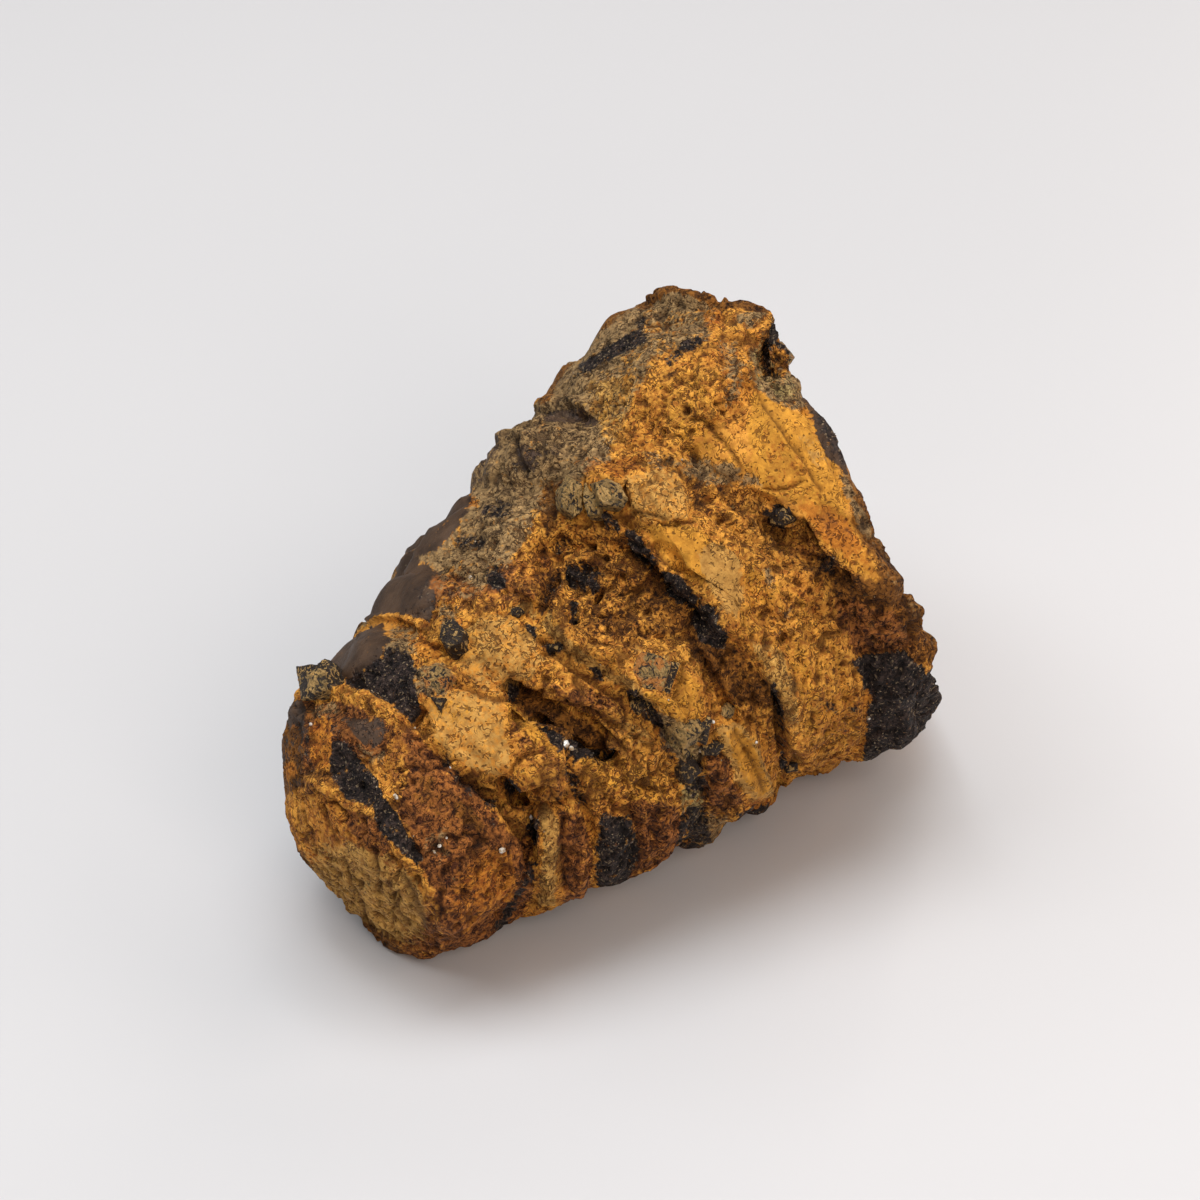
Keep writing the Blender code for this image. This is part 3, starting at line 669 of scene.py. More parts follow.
        (430, 510), (470, 500), (510, 494), (536, 516), (520, 556), (500, 590), (470, 600), (440, 596),
        (430, 560),
    ]),
    ("black", 0.65, 0.2, [(474, 508), (500, 500), (518, 504), (508, 518), (482, 516)]),
    ("black", 0.65, 0.2, [(448, 538), (470, 532), (488, 538), (480, 550), (456, 550)]),
    ("black", 0.7, 0.2, [(484, 566), (504, 562), (508, 588), (490, 594)]),
    ("umber", 0.5, 0.25, [(508, 582), (530, 578), (534, 600), (516, 602)]),
    ("orange", 0.7, 0.2, [(460, 496), (478, 494), (476, 508), (464, 508)]),
    ("glaze", 1.0, 0.12, [
        (396, 566), (420, 510), (446, 480), (470, 486), (473, 502), (460, 524), (444, 544), (430, 556),
        (412, 566),
    ]),
    ("patina", 0.8, 0.15, [(410, 564), (422, 554), (436, 550), (444, 560), (430, 568)]),
    ("rust", 0.5, 0.4, [(480, 590), (516, 556), (548, 540), (556, 570), (536, 604), (500, 612), (470, 618)]),
    ("umber", 0.35, 0.4, [
        (536, 560), (566, 528), (604, 524), (652, 556), (700, 600), (722, 640), (700, 668), (664, 640),
        (600, 640), (560, 632), (540, 606),
    ]),
    ("umber", 0.25, 0.3, [(562, 556), (612, 556), (650, 580), (690, 620), (640, 606), (580, 600)]),
    ("black", 0.9, 0.15, [(564, 566), (580, 564), (588, 576), (602, 586), (596, 596), (568, 588)]),
    ("black", 0.8, 0.15, [(570, 600), (580, 600), (578, 626), (570, 624)]),
    ("black", 0.5, 0.15, [(604, 610), (622, 614), (618, 624), (604, 620)]),
    ("umber", 1.0, 0.15, [(538, 612), (544, 586), (556, 568), (562, 578), (552, 612)]),
    ("black", 0.45, 0.15, [(540, 610), (546, 586), (556, 570), (561, 580), (550, 610)]),
    ("umber", 0.5, 0.15, [(640, 602), (664, 600), (688, 612), (684, 632), (652, 638)]),
    ("umber", 0.4, 0.3, [(590, 604), (630, 606), (650, 640), (640, 656), (606, 650), (584, 634)]),
    ("pale", 0.95, 0.12, [
        (514, 602), (532, 603), (548, 616), (562, 630), (577, 648), (600, 663), (630, 680), (660, 700),
        (692, 724), (688, 731), (654, 709), (626, 690), (596, 673), (566, 655), (550, 637), (538, 621),
        (518, 611),
    ]),
    ("gold", 0.8, 0.2, [(632, 684), (664, 698), (694, 734), (676, 728), (650, 702)]),
    ("gold", 0.75, 0.12, [(668, 698), (682, 662), (704, 684), (706, 714), (692, 734)]),
    ("pale", 0.4, 0.3, [(628, 640), (680, 650), (672, 694), (640, 686)]),
    ("umber", 0.75, 0.12, [
        (690, 636), (722, 632), (744, 654), (762, 674), (776, 696), (774, 712), (756, 706), (734, 696),
        (712, 680), (690, 652),
    ]),
    ("umber", 0.45, 0.3, [
        (700, 660), (730, 680), (770, 696), (778, 716), (780, 752), (762, 736), (740, 716), (716, 690),
    ]),
    ("pale", 0.9, 0.2, [(714, 728), (738, 722), (760, 748), (776, 794), (754, 804), (734, 778)]),
    ("black", 0.95, 0.12, [(769, 684), (776, 682), (784, 712), (784, 738), (777, 738), (776, 714)]),
    ("black", 0.9, 0.12, [(778, 742), (786, 740), (789, 770), (781, 770)]),
    ("umber", 0.35, 0.15, [
        (600, 508), (616, 508), (646, 536), (662, 556), (690, 584), (706, 602), (726, 616), (728, 640),
        (700, 642), (676, 614), (650, 578), (622, 546), (602, 532),
    ]),
    ("black", 0.8, 0.12, [(602, 512), (612, 510), (622, 522), (618, 532), (604, 526)]),
    ("black", 0.85, 0.12, [(628, 538), (640, 542), (654, 556), (656, 572), (644, 564), (630, 552)]),
    ("black", 1.0, 0.1, [(658, 568), (672, 572), (686, 582), (698, 598), (692, 610), (678, 604), (664, 588)]),
    ("black", 1.0, 0.1, [(694, 608), (706, 606), (722, 618), (730, 638), (722, 650), (702, 644), (692, 626)]),
    ("umber", 0.65, 0.2, [
        (690, 764), (712, 752), (730, 770), (742, 804), (726, 826), (700, 850), (686, 830),
    ]),
    ("black", 0.7, 0.12, [(714, 756), (724, 752), (732, 770), (722, 774)]),
    ("black", 0.6, 0.12, [(706, 786), (718, 782), (724, 800), (710, 804)]),
    ("umber", 0.3, 0.3, [
        (700, 780), (730, 770), (756, 790), (780, 800), (780, 830), (740, 830), (700, 850), (690, 820),
    ]),
    ("rust", 0.5, 0.25, [(706, 752), (726, 750), (738, 776), (746, 806), (716, 812), (702, 790)]),
    ("orange", 0.5, 0.2, [(742, 800), (772, 796), (776, 812), (746, 820)]),
    ("black", 0.8, 0.12, [(736, 812), (776, 804), (780, 814), (742, 826)]),
    ("patina", 0.5, 0.3, [(690, 810), (730, 816), (730, 840), (700, 856), (686, 850)]),
    # the third chamber
    ("orange", 0.25, 0.4, [(560, 646), (620, 670), (670, 720), (640, 740), (580, 700)]),
    ("umber", 0.4, 0.35, [
        (506, 684), (540, 676), (600, 690), (650, 718), (668, 740), (630, 752), (590, 756), (552, 740),
        (524, 712),
    ]),
    ("rust", 0.5, 0.35, [(540, 684), (610, 690), (640, 712), (600, 720), (560, 706)]),
    ("umber", 0.8, 0.15, [
        (506, 682), (522, 684), (560, 706), (596, 730), (616, 748), (590, 752), (560, 736), (530, 716),
        (510, 704),
    ]),
    ("pale", 0.35, 0.35, [(612, 716), (650, 728), (674, 762), (680, 790), (656, 784), (630, 754)]),
    ("gold", 0.75, 0.12, [
        (502, 698), (520, 712), (546, 737), (566, 756), (552, 758), (528, 738), (508, 716),
    ]),
    ("rust", 0.5, 0.2, [(512, 716), (530, 734), (560, 756), (560, 768), (530, 752), (508, 736)]),
    ("black", 1.0, 0.1, [(505, 682), (518, 682), (521, 702), (508, 704)]),
    ("black", 1.0, 0.1, [(528, 716), (560, 733), (590, 748), (616, 750), (610, 764), (580, 762), (552, 744)]),
    ("gold", 0.6, 0.3, [(580, 756), (640, 756), (672, 790), (664, 812), (620, 796), (584, 784)]),
    ("black", 0.9, 0.2, [(604, 812), (630, 816), (641, 846), (628, 900), (600, 910), (594, 850)]),
    ("rust", 0.8, 0.3, [(622, 798), (660, 800), (682, 810), (684, 850), (650, 880), (628, 886), (640, 846)]),
    ("black", 0.5, 0.2, [(676, 752), (698, 752), (712, 790), (694, 826), (682, 796)]),
    ("patina", 0.95, 0.15, [
        (654, 712), (676, 716), (696, 738), (706, 756), (692, 766), (676, 758), (660, 738),
    ]),
    ("pale", 0.35, 0.12, [(662, 716), (680, 722), (698, 742), (684, 746), (668, 734)]),
    ("black", 0.6, 0.12, [(656, 728), (664, 726), (680, 756), (672, 762), (662, 748)]),
    ("olive", 0.45, 0.2, [(656, 716), (676, 720), (696, 744), (700, 760), (682, 756), (666, 740)]),
    ("olive", 0.5, 0.3, [(676, 770), (700, 776), (706, 820), (690, 840), (680, 810)]),
    ("black", 0.9, 0.12, [(624, 690), (636, 690), (650, 704), (666, 724), (658, 730), (640, 714)]),
    ("black", 0.85, 0.1, [(590, 667), (600, 667), (604, 680), (594, 682)]),
    ("black", 0.6, 0.15, [(678, 764), (698, 762), (704, 790), (692, 800), (682, 784)]),
    ("black", 0.7, 0.2, [(672, 860), (682, 808), (708, 806), (712, 846), (690, 870)]),
    ("glaze", 1.0, 0.12, [
        (340, 634), (374, 580), (402, 560), (424, 562), (439, 574), (440, 596), (432, 622), (416, 618),
        (396, 612), (376, 616), (360, 626),
    ]),
    ("black", 0.4, 0.2, [(414, 584), (438, 574), (440, 600), (430, 622), (416, 614)]),
    ("patina", 0.3, 0.3, [(430, 580), (446, 570), (452, 596), (440, 616)]),
    ("rust", 0.4, 0.4, [(428, 580), (450, 570), (480, 590), (470, 616), (440, 614)]),
    ("patina", 0.6, 0.3, [(436, 606), (448, 600), (462, 614), (450, 626), (440, 624)]),
    ("black", 0.65, 0.15, [(436, 622), (450, 616), (464, 628), (458, 646), (444, 646)]),
    ("patina", 0.7, 0.15, [(440, 622), (456, 620), (462, 634), (450, 642)]),
    ("black", 0.9, 0.1, [(524, 622), (534, 624), (536, 638), (526, 636)]),
    ("black", 0.85, 0.1, [(543, 644), (560, 641), (564, 650), (548, 655)]),
    ("black", 0.85, 0.1, [(510, 606), (518, 608), (518, 618), (510, 618)]),
    ("pale", 0.6, 0.2, [
        (464, 632), (482, 616), (512, 616), (532, 634), (548, 660), (532, 680), (508, 686), (500, 698),
        (482, 692), (460, 668), (450, 650),
    ]),
    # the second chamber
    ("black", 1.0, 0.2, [
        (344, 684), (352, 664), (368, 648), (388, 640), (404, 644), (415, 660), (419, 690), (420, 716),
        (412, 722), (392, 706), (370, 694),
    ]),
    ("patina", 0.6, 0.3, [(384, 626), (420, 624), (424, 650), (404, 656), (386, 646)]),
    ("glaze", 1.0, 0.2, [(306, 696), (326, 650), (350, 618), (384, 624), (392, 640), (372, 664), (348, 680)]),
    ("ochre", 0.75, 0.1, [
        (350, 636), (364, 624), (382, 616), (402, 614), (420, 620), (438, 633), (444, 644), (432, 642),
        (416, 629), (398, 621), (382, 622), (366, 631),
    ]),
    ("orange", 0.7, 0.2, [(418, 634), (434, 640), (444, 658), (432, 666), (420, 656)]),
    ("patina", 0.7, 0.2, [(416, 666), (438, 660), (454, 672), (450, 698), (434, 702), (418, 694)]),
    ("black", 0.5, 0.15, [(418, 672), (446, 672), (446, 694), (424, 698)]),
    ("pale", 0.65, 0.15, [
        (426, 706), (450, 690), (476, 692), (502, 704), (508, 736), (513, 768), (500, 778), (470, 768),
        (446, 752), (430, 730),
    ]),
    ("gold", 0.4, 0.3, [(424, 700), (470, 694), (480, 720), (440, 736)]),
    ("gold", 0.4, 0.3, [(508, 760), (540, 756), (556, 770), (540, 786), (516, 784)]),
    ("rust", 0.5, 0.2, [(540, 764), (560, 766), (566, 792), (546, 796)]),
    # brown under the knob: brown stain, and painted shadow below the knob
    ("umber", 0.6, 0.2, [(512, 792), (536, 796), (568, 788), (566, 808), (532, 812), (516, 806)]),
    ("black", 1.0, 0.1, [(499, 779), (513, 779), (522, 790), (518, 801), (507, 796)]),
    ("pale", 0.95, 0.15, [(538, 808), (556, 808), (560, 850), (554, 906), (538, 906), (544, 846)]),
    ("rust", 0.8, 0.25, [(558, 812), (582, 812), (594, 850), (592, 906), (562, 910), (558, 850)]),
    ("black", 0.6, 0.2, [(560, 760), (574, 764), (588, 802), (576, 806)]),
    # the drum of the first chamber
    ("rust", 0.95, 0.35, [
        (270, 740), (300, 700), (330, 694), (376, 706), (404, 722), (440, 756), (480, 790), (536, 828),
        (532, 900), (506, 940), (446, 956), (438, 908), (420, 862), (392, 800), (384, 756), (330, 760),
        (290, 790),
    ]),
    ("umber", 0.4, 0.4, [(404, 756), (440, 780), (490, 830), (500, 860), (450, 850), (414, 812)]),
    ("orange", 0.4, 0.3, [(470, 850), (500, 846), (524, 870), (500, 900), (470, 890)]),
    ("glaze", 0.85, 0.25, [
        (258, 740), (280, 704), (300, 698), (308, 712), (306, 740), (302, 784), (286, 806), (256, 800),
    ]),
    ("umber", 0.6, 0.25, [(304, 704), (330, 692), (346, 706), (346, 720), (330, 716), (306, 724)]),
    ("umber", 0.5, 0.2, [(258, 730), (290, 724), (302, 730), (306, 790), (284, 800), (258, 790)]),
    ("patina", 0.4, 0.3, [(314, 696), (334, 694), (340, 712), (322, 722), (308, 716)]),
    ("ochre", 0.8, 0.2, [
        (312, 696), (330, 686), (350, 687), (378, 700), (408, 722), (408, 734), (388, 724), (360, 710),
        (336, 700), (318, 702),
    ]),
    ("ochre", 0.5, 0.3, [(386, 728), (404, 732), (408, 776), (402, 804), (390, 796), (384, 760)]),
    ("ochre", 0.6, 0.25, [(478, 786), (500, 796), (528, 822), (528, 846), (510, 834), (492, 812)]),
    ("patina", 0.35, 0.3, [(418, 830), (450, 826), (454, 856), (428, 860)]),
    ("orange", 0.5, 0.4, [(456, 870), (510, 850), (516, 896), (466, 936), (446, 904)]),
    # a thin black line along the lower edge of the pale plate: painted shadow under the plate's edge
    ("black", 0.6, 0.12, [
        (438, 750), (450, 754), (464, 776), (478, 792), (470, 797), (456, 784), (442, 766),
    ]),
    ("umber", 0.6, 0.15, [(452, 800), (470, 806), (486, 824), (476, 832), (458, 820)]),
    ("umber", 0.5, 0.2, [(420, 780), (432, 786), (440, 806), (428, 804)]),
    ("glaze", 0.85, 0.2, [(342, 720), (380, 716), (388, 732), (376, 748), (354, 738)]),
    ("patina", 0.5, 0.2, [(352, 746), (384, 750), (386, 776), (372, 768)]),
    ("black", 0.95, 0.2, [
        (330, 742), (342, 740), (358, 756), (376, 776), (384, 800), (372, 806), (346, 800), (330, 780),
    ]),
    ("black", 1.0, 0.12, [
        (374, 800), (390, 800), (402, 822), (412, 840), (424, 858), (416, 866), (398, 852), (380, 836),
        (376, 816),
    ]),
    ("black", 0.5, 0.15, [
        (303, 730), (314, 712), (338, 714), (340, 744), (334, 776), (312, 778), (302, 758),
    ]),
    ("orange", 0.9, 0.1, [
        (309, 732), (318, 718), (331, 719), (332, 744), (327, 767), (316, 769), (308, 756),
    ]),
    ("orange", 0.6, 0.12, [(284, 764), (296, 762), (297, 776), (286, 779)]),
    ("umber", 0.6, 0.2, [(304, 770), (328, 768), (342, 790), (322, 786), (306, 782)]),
    # the broken narrow end
    ("ochre", 1.0, 0.12, [
        (262, 812), (284, 801), (300, 786), (322, 787), (346, 805), (374, 820), (390, 846), (421, 868),
        (440, 912), (446, 970), (380, 976), (300, 920), (256, 850),
    ]),
    ("pale", 0.85, 0.3, [(300, 850), (350, 840), (384, 850), (420, 880), (436, 940), (390, 950), (330, 910)]),
    ("orange", 0.45, 0.3, [
        (262, 812), (290, 796), (324, 790), (344, 816), (344, 850), (320, 870), (280, 850),
    ]),
    ("rust", 0.6, 0.12, [(300, 784), (314, 780), (318, 794), (304, 797)]),
    ("rust", 0.85, 0.2, [(344, 808), (374, 818), (392, 848), (380, 856), (356, 846), (346, 826)]),
    ("pale", 1.0, 0.25, [(348, 866), (384, 856), (414, 884), (424, 920), (392, 928), (358, 908)]),
    ("umber", 0.5, 0.2, [(352, 836), (376, 838), (384, 854), (362, 852)]),
    ("umber", 0.6, 0.15, [(384, 870), (392, 872), (396, 898), (388, 900)]),
    ("olive", 0.25, 0.3, [(350, 876), (384, 866), (404, 894), (400, 914), (366, 906)]),
    ("rust", 0.55, 0.25, [(424, 900), (440, 900), (448, 950), (430, 950), (420, 926)]),
    ("umber", 0.8, 0.15, [
        (256, 812), (280, 806), (300, 850), (330, 894), (350, 916), (340, 932), (300, 900), (268, 846),
    ]),
    ("rust", 0.5, 0.15, [(374, 856), (398, 856), (408, 866), (390, 874)]),
    ("umber", 0.8, 0.15, [(336, 914), (352, 914), (380, 930), (410, 946), (420, 974), (340, 970)]),
    ("rust", 0.6, 0.3, [(400, 936), (446, 926), (466, 940), (450, 970), (410, 966)]),
    ("black", 0.8, 0.12, [(478, 800), (490, 798), (500, 804), (494, 810), (482, 806)]),
    ("black", 0.5, 0.12, [(486, 814), (494, 816), (500, 830), (492, 828)]),
    ("black", 0.9, 0.15, [(528, 816), (540, 816), (540, 838), (530, 852), (526, 836)]),
    ("black", 0.8, 0.15, [
        (530, 856), (538, 864), (530, 884), (520, 900), (508, 930), (492, 930), (506, 904), (524, 880),
    ]),
    ("gold", 0.8, 0.2, [(726, 732), (740, 728), (758, 752), (771, 788), (758, 798), (742, 776)]),
    ("black", 0.9, 0.12, [(622, 530), (634, 530), (646, 548), (640, 556), (628, 546)]),
    ("black", 0.5, 0.15, [(548, 536), (566, 532), (572, 548), (556, 556)]),
    ("black", 0.55, 0.15, [(574, 560), (590, 556), (604, 572), (592, 580), (578, 574)]),
    ("black", 0.8, 0.12, [(490, 576), (502, 570), (508, 586), (498, 594)]),
]

# Where the pits are thick or thin: how thick, how soft the edge is, and the outline.
PITTING = [
    (0.5, 0.3, [(424, 704), (476, 692), (507, 736), (512, 768), (470, 768), (432, 730)]),
    (0.65, 0.4, [(464, 632), (512, 616), (546, 660), (500, 697), (452, 650)]),
    (0.0, 0.3, [(306, 690), (326, 650), (356, 612), (392, 624), (388, 644), (348, 678)]),
    (0.0, 0.3, [(346, 620), (380, 570), (412, 546), (440, 566), (440, 600), (384, 616)]),
    (0.0, 0.3, [(404, 556), (430, 500), (452, 480), (474, 512), (442, 558)]),
    (0.0, 0.3, [(800, 396), (830, 392), (876, 474), (856, 490), (812, 424)]),
    (0.45, 0.3, [(750, 392), (800, 412), (842, 470), (850, 510), (790, 500), (750, 480), (744, 430)]),
    (0.55, 0.3, [(806, 506), (846, 510), (904, 602), (850, 570)]),
    (0.55, 0.4, [(690, 426), (740, 440), (760, 490), (700, 466), (676, 448)]),
    (0.4, 0.2, [(642, 532), (704, 532), (712, 556), (696, 580), (668, 566)]),
    (0.45, 0.3, [(704, 556), (732, 548), (750, 606), (730, 620)]),
    (0.6, 0.5, [(640, 360), (724, 340), (730, 400), (690, 430), (640, 450), (610, 430)]),
    (0.85, 0.5, [(536, 548), (604, 524), (700, 600), (716, 650), (600, 650), (540, 612)]),
    (0.6, 0.5, [(740, 560), (800, 570), (860, 660), (860, 750), (800, 760), (780, 680), (740, 620)]),
    (0.45, 0.3, [(718, 728), (738, 722), (758, 752), (772, 794), (754, 802), (736, 776)]),
    (0.85, 0.4, [(580, 756), (676, 760), (686, 850), (630, 880), (584, 800)]),
    (0.5, 0.4, [(400, 740), (440, 760), (520, 830), (520, 900), (450, 940), (400, 830)]),
    (0.45, 0.4, [(290, 800), (350, 820), (430, 900), (440, 940), (380, 930), (320, 880)]),
]


# The shell's axis, and each septum's plane: its station on the axis in mm, and how far it leans and towards
# which bearing in degrees, 0 upwards and 90 to the near side.
AXIS_FOOT, AXIS_RISE = (-9.88, 0.14, 12.15), 12.5
SEPTA = [(-8.8, 10.0, 120.0), (-4.4, 3.0, 120.0), (1.1, 13.5, 120.0), (8.1, 8.5, 115.0), (14.3, 10.0, 100.0)]


# ---------------------------------------------------------------- the mould

WEAR_ROUNDS = 18  # rounds of smoothing that wear the solid's facets away
WAVER = 2.5  # pixels of the view by which the marks waver
LEDGE_END = 30.0  # pixels of the view over which a ledge's ends fade
GROOVE_DEPTH, GROOVE_REACH = 0.6, 1.0  # a septum's worn groove, in mm
USUAL_PITTING = 0.6  # how thick the pits are where nothing else is drawn
FLAKE_STEP = 0.09  # mm from one flake of the skin to the next
BOX_GAP = 0.02  # mm that the skin keeps inside the solid's box
BED_LOW, BED_HIGH = 0.1, 0.8  # mm above the floor between which the relief grows to its full height


def fossil_mesh(name, mesh):
    """Links a mesh as an object at the origin."""
    obj = bpy.data.objects.new(name, mesh)
    bpy.context.scene.collection.objects.link(obj)
    return obj


def settle(obj):
    """Applies an object's modifiers by making its evaluated shape its mesh."""
    depsgraph = bpy.context.evaluated_depsgraph_get()
    result = bpy.data.meshes.new_from_object(
        obj.evaluated_get(depsgraph), preserve_all_data_layers=True, depsgraph=depsgraph
    )
    obj.modifiers.clear()
    obj.data = result


def shared_skin(width, rounds):
    """A fine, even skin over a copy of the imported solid, with the solid's facets worn away."""
    shape = bmesh.new()
    shape.from_mesh(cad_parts[NODE].data)
    bmesh.ops.remove_doubles(shape, verts=shape.verts, dist=0.00001)
    mesh = bpy.data.meshes.new("mould")
    shape.to_mesh(mesh)
    shape.free()
    obj = fossil_mesh("mould", mesh)
    remesh = obj.modifiers.new("Even faces", "REMESH")
    remesh.mode = "VOXEL"
    remesh.voxel_size = width
    wear = obj.modifiers.new("Worn facets", "SMOOTH")
    wear.factor = 0.5
    wear.iterations = rounds
    settle(obj)
    return obj


def corner_places(mesh):
    """The corners of a mesh, in mm."""
    flat = np.empty(len(mesh.vertices) * 3)
    mesh.vertices.foreach_get("co", flat)
    return flat.reshape(-1, 3) / MM


def corner_normals(mesh):
    """The directions in which the corners of a mesh face."""
    flat = np.empty(len(mesh.vertices) * 3)
    mesh.vertices.foreach_get("normal", flat)
    return flat.reshape(-1, 3)


def ripples(points, span, start):
    """Smooth noise, about -1 to 1, whose lumps are span mm wide."""
    offset = Vector((start, start * 0.7, -start * 1.3))
    return np.array([noise.noise(Vector(p) + offset) for p in points / span])


def mound(reach, half_width):
    """A rounded bump of height 1 that ends half_width away."""
    return np.clip(1.0 - (reach / half_width) ** 2, 0.0, 1.0) ** 2


def carve(at, shown, warp):
    """How far the marks of the weathered side lift each place, and how deep it lies in a crack or a sunk
    knob, which the material paints darker: dirt, and painted shade in the recess.
    """
    lift, crack = np.zeros(len(at)), np.zeros(len(at))
    drawn = at + warp
    for height, half_width, run in LINES:
        narrow = half_width < CRACK_WIDTH
        shape = mound(run_reach(at + 0.4 * warp if narrow else drawn, run)[0], half_width)
        lift += height * shape
        if height < 0.0 and narrow:
            crack = np.maximum(crack, shape)
    for height, half_width, places in KNOBS:
        for place in places:
            shape = mound(np.hypot(*(drawn - place).T) / PIXELS_PER_MM, half_width)
            lift += height * shape
            if height < 0.0:
                crack = np.maximum(crack, shape)
    for height, back, run in LEDGES:
        reach, side = run_reach(drawn, run)
        first, last = (np.hypot(*(drawn - end).T) for end in (run[0], run[-1]))
        ends = smooth(0.0, 1.0, np.minimum(first, last) / LEDGE_END)
        lift += height * smooth(-0.2, 0.12, reach * side) * np.exp(-((reach / back) ** 2)) * ends
    for height, edge, _, corners in PLATES:
        lift += height * smooth(-edge, edge, patch_depth(drawn, corners))
    return lift * shown, crack * shown


def plate_calm(drawn):
    """How smooth the plates are at each place."""
    calm = np.zeros(len(drawn))
    for _, edge, evenness, corners in PLATES:
        calm = np.maximum(calm, evenness * smooth(-edge, edge, patch_depth(drawn, corners)))
    return calm


def pit_thickness(drawn, seen):
    """How thick the pits are at each place."""
    pitting = np.full(len(drawn), USUAL_PITTING)
    for thickness, edge, corners in PITTING:
        pitting += (thickness - pitting) * seen * smooth(-edge, edge, patch_depth(drawn, corners))
    return pitting


def swell(points, at, facing):
    """How far the broad swells lift each place."""
    lift = np.zeros(len(at))
    for height, half_width, pixel in SWELLS:
        reach = np.hypot(*(at - pixel).T) + np.where(facing > 0.0, 0.0, FRAME_PIXELS)
        middle = points[np.argmin(reach)]
        lift += height * mound(np.linalg.norm(points - middle, axis=1), half_width)
    return lift


def paint(at, shown, warp, hidden):
    """The share of each pigment at each place; what they leave is ochre."""
    shares = {name: hidden.get(name, np.zeros(len(at))) * (1.0 - shown) for name in PIGMENTS}
    drawn = at + warp
    for pigment, strength, edge, corners in STAINS:
        cover = strength * shown * smooth(-edge, edge, patch_depth(drawn, corners))
        for name in PIGMENTS:
            shares[name] *= 1.0 - cover
        if pigment in shares:
            shares[pigment] += cover
    # each layer of the material covers this much of what the layers above it leave free
    free = np.ones(len(at))
    for name in reversed(PIGMENTS):
        covered = shares[name] / np.maximum(free, 0.001)
        free = np.maximum(free - shares[name], 0.0)
        shares[name] = np.minimum(covered, 1.0)
    return shares


def septum_reach(points):
    """How far each place is from the plane of the nearest septum, in mm."""
    rise = math.radians(AXIS_RISE)
    along = np.array((math.cos(rise), 0.0, math.sin(rise)))
    above = np.array((-math.sin(rise), 0.0, math.cos(rise)))
    near = np.array((0.0, -1.0, 0.0))
    rel = points - np.array(AXIS_FOOT)
    nearest = np.full(len(points), 1.0e9)
    for station, lean, bearing in SEPTA:
        lean, bearing = math.radians(lean), math.radians(bearing)
        sideways = rel @ (above * math.cos(bearing) + near * math.sin(bearing))
        past = rel @ along - station - math.tan(lean) * sideways
        nearest = np.minimum(nearest, np.abs(past) * math.cos(lean))
    return nearest


def hidden_stains(points, normals, groove):
    """Pigments of the sides that the marks don't reach: ochre and rust flanks, dark hollows, a grey-brown
    glazed top, and bare ochre with dirt in the grooves of the septa."""
    broad = ripples(points, 9.0, 11.0)
    middle = ripples(points, 4.0, 23.0)
    small = ripples(points, 2.0, 37.0)
    up = normals[:, 2]
    bare = 1.0 - 0.9 * groove
    hollows = smooth(0.05, 0.5, middle - 0.3 * up - 0.3 * broad) * 0.65
    return {
        "patina": smooth(-0.1, 0.6, up + 0.6 * middle) * 0.85 * bare,
        "rust": smooth(-0.05, 0.3, broad + 0.4 * small) * 0.8,
        "umber": np.maximum(hollows, 0.8 * smooth(0.6, 1.0, groove)),
        "black": smooth(0.32, 0.48, small * 0.7 + 0.5 * ripples(points, 6.0, 51.0)) * 0.8,
        "pale": smooth(0.0, 0.3, -broad + 0.3 * small) * 0.6,
        "glaze": smooth(0.1, 0.45, -middle + 0.3 * broad + 0.35 * up) * 0.95 * bare,
    }


def keep_in_box(points):
    """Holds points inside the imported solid's box, and the bed on the floor."""
    low = np.array(CAD_LOW) / MM + BOX_GAP
    high = np.array(CAD_HIGH) / MM - BOX_GAP
    low[2] = 0.0
    return np.clip(points, low, high)


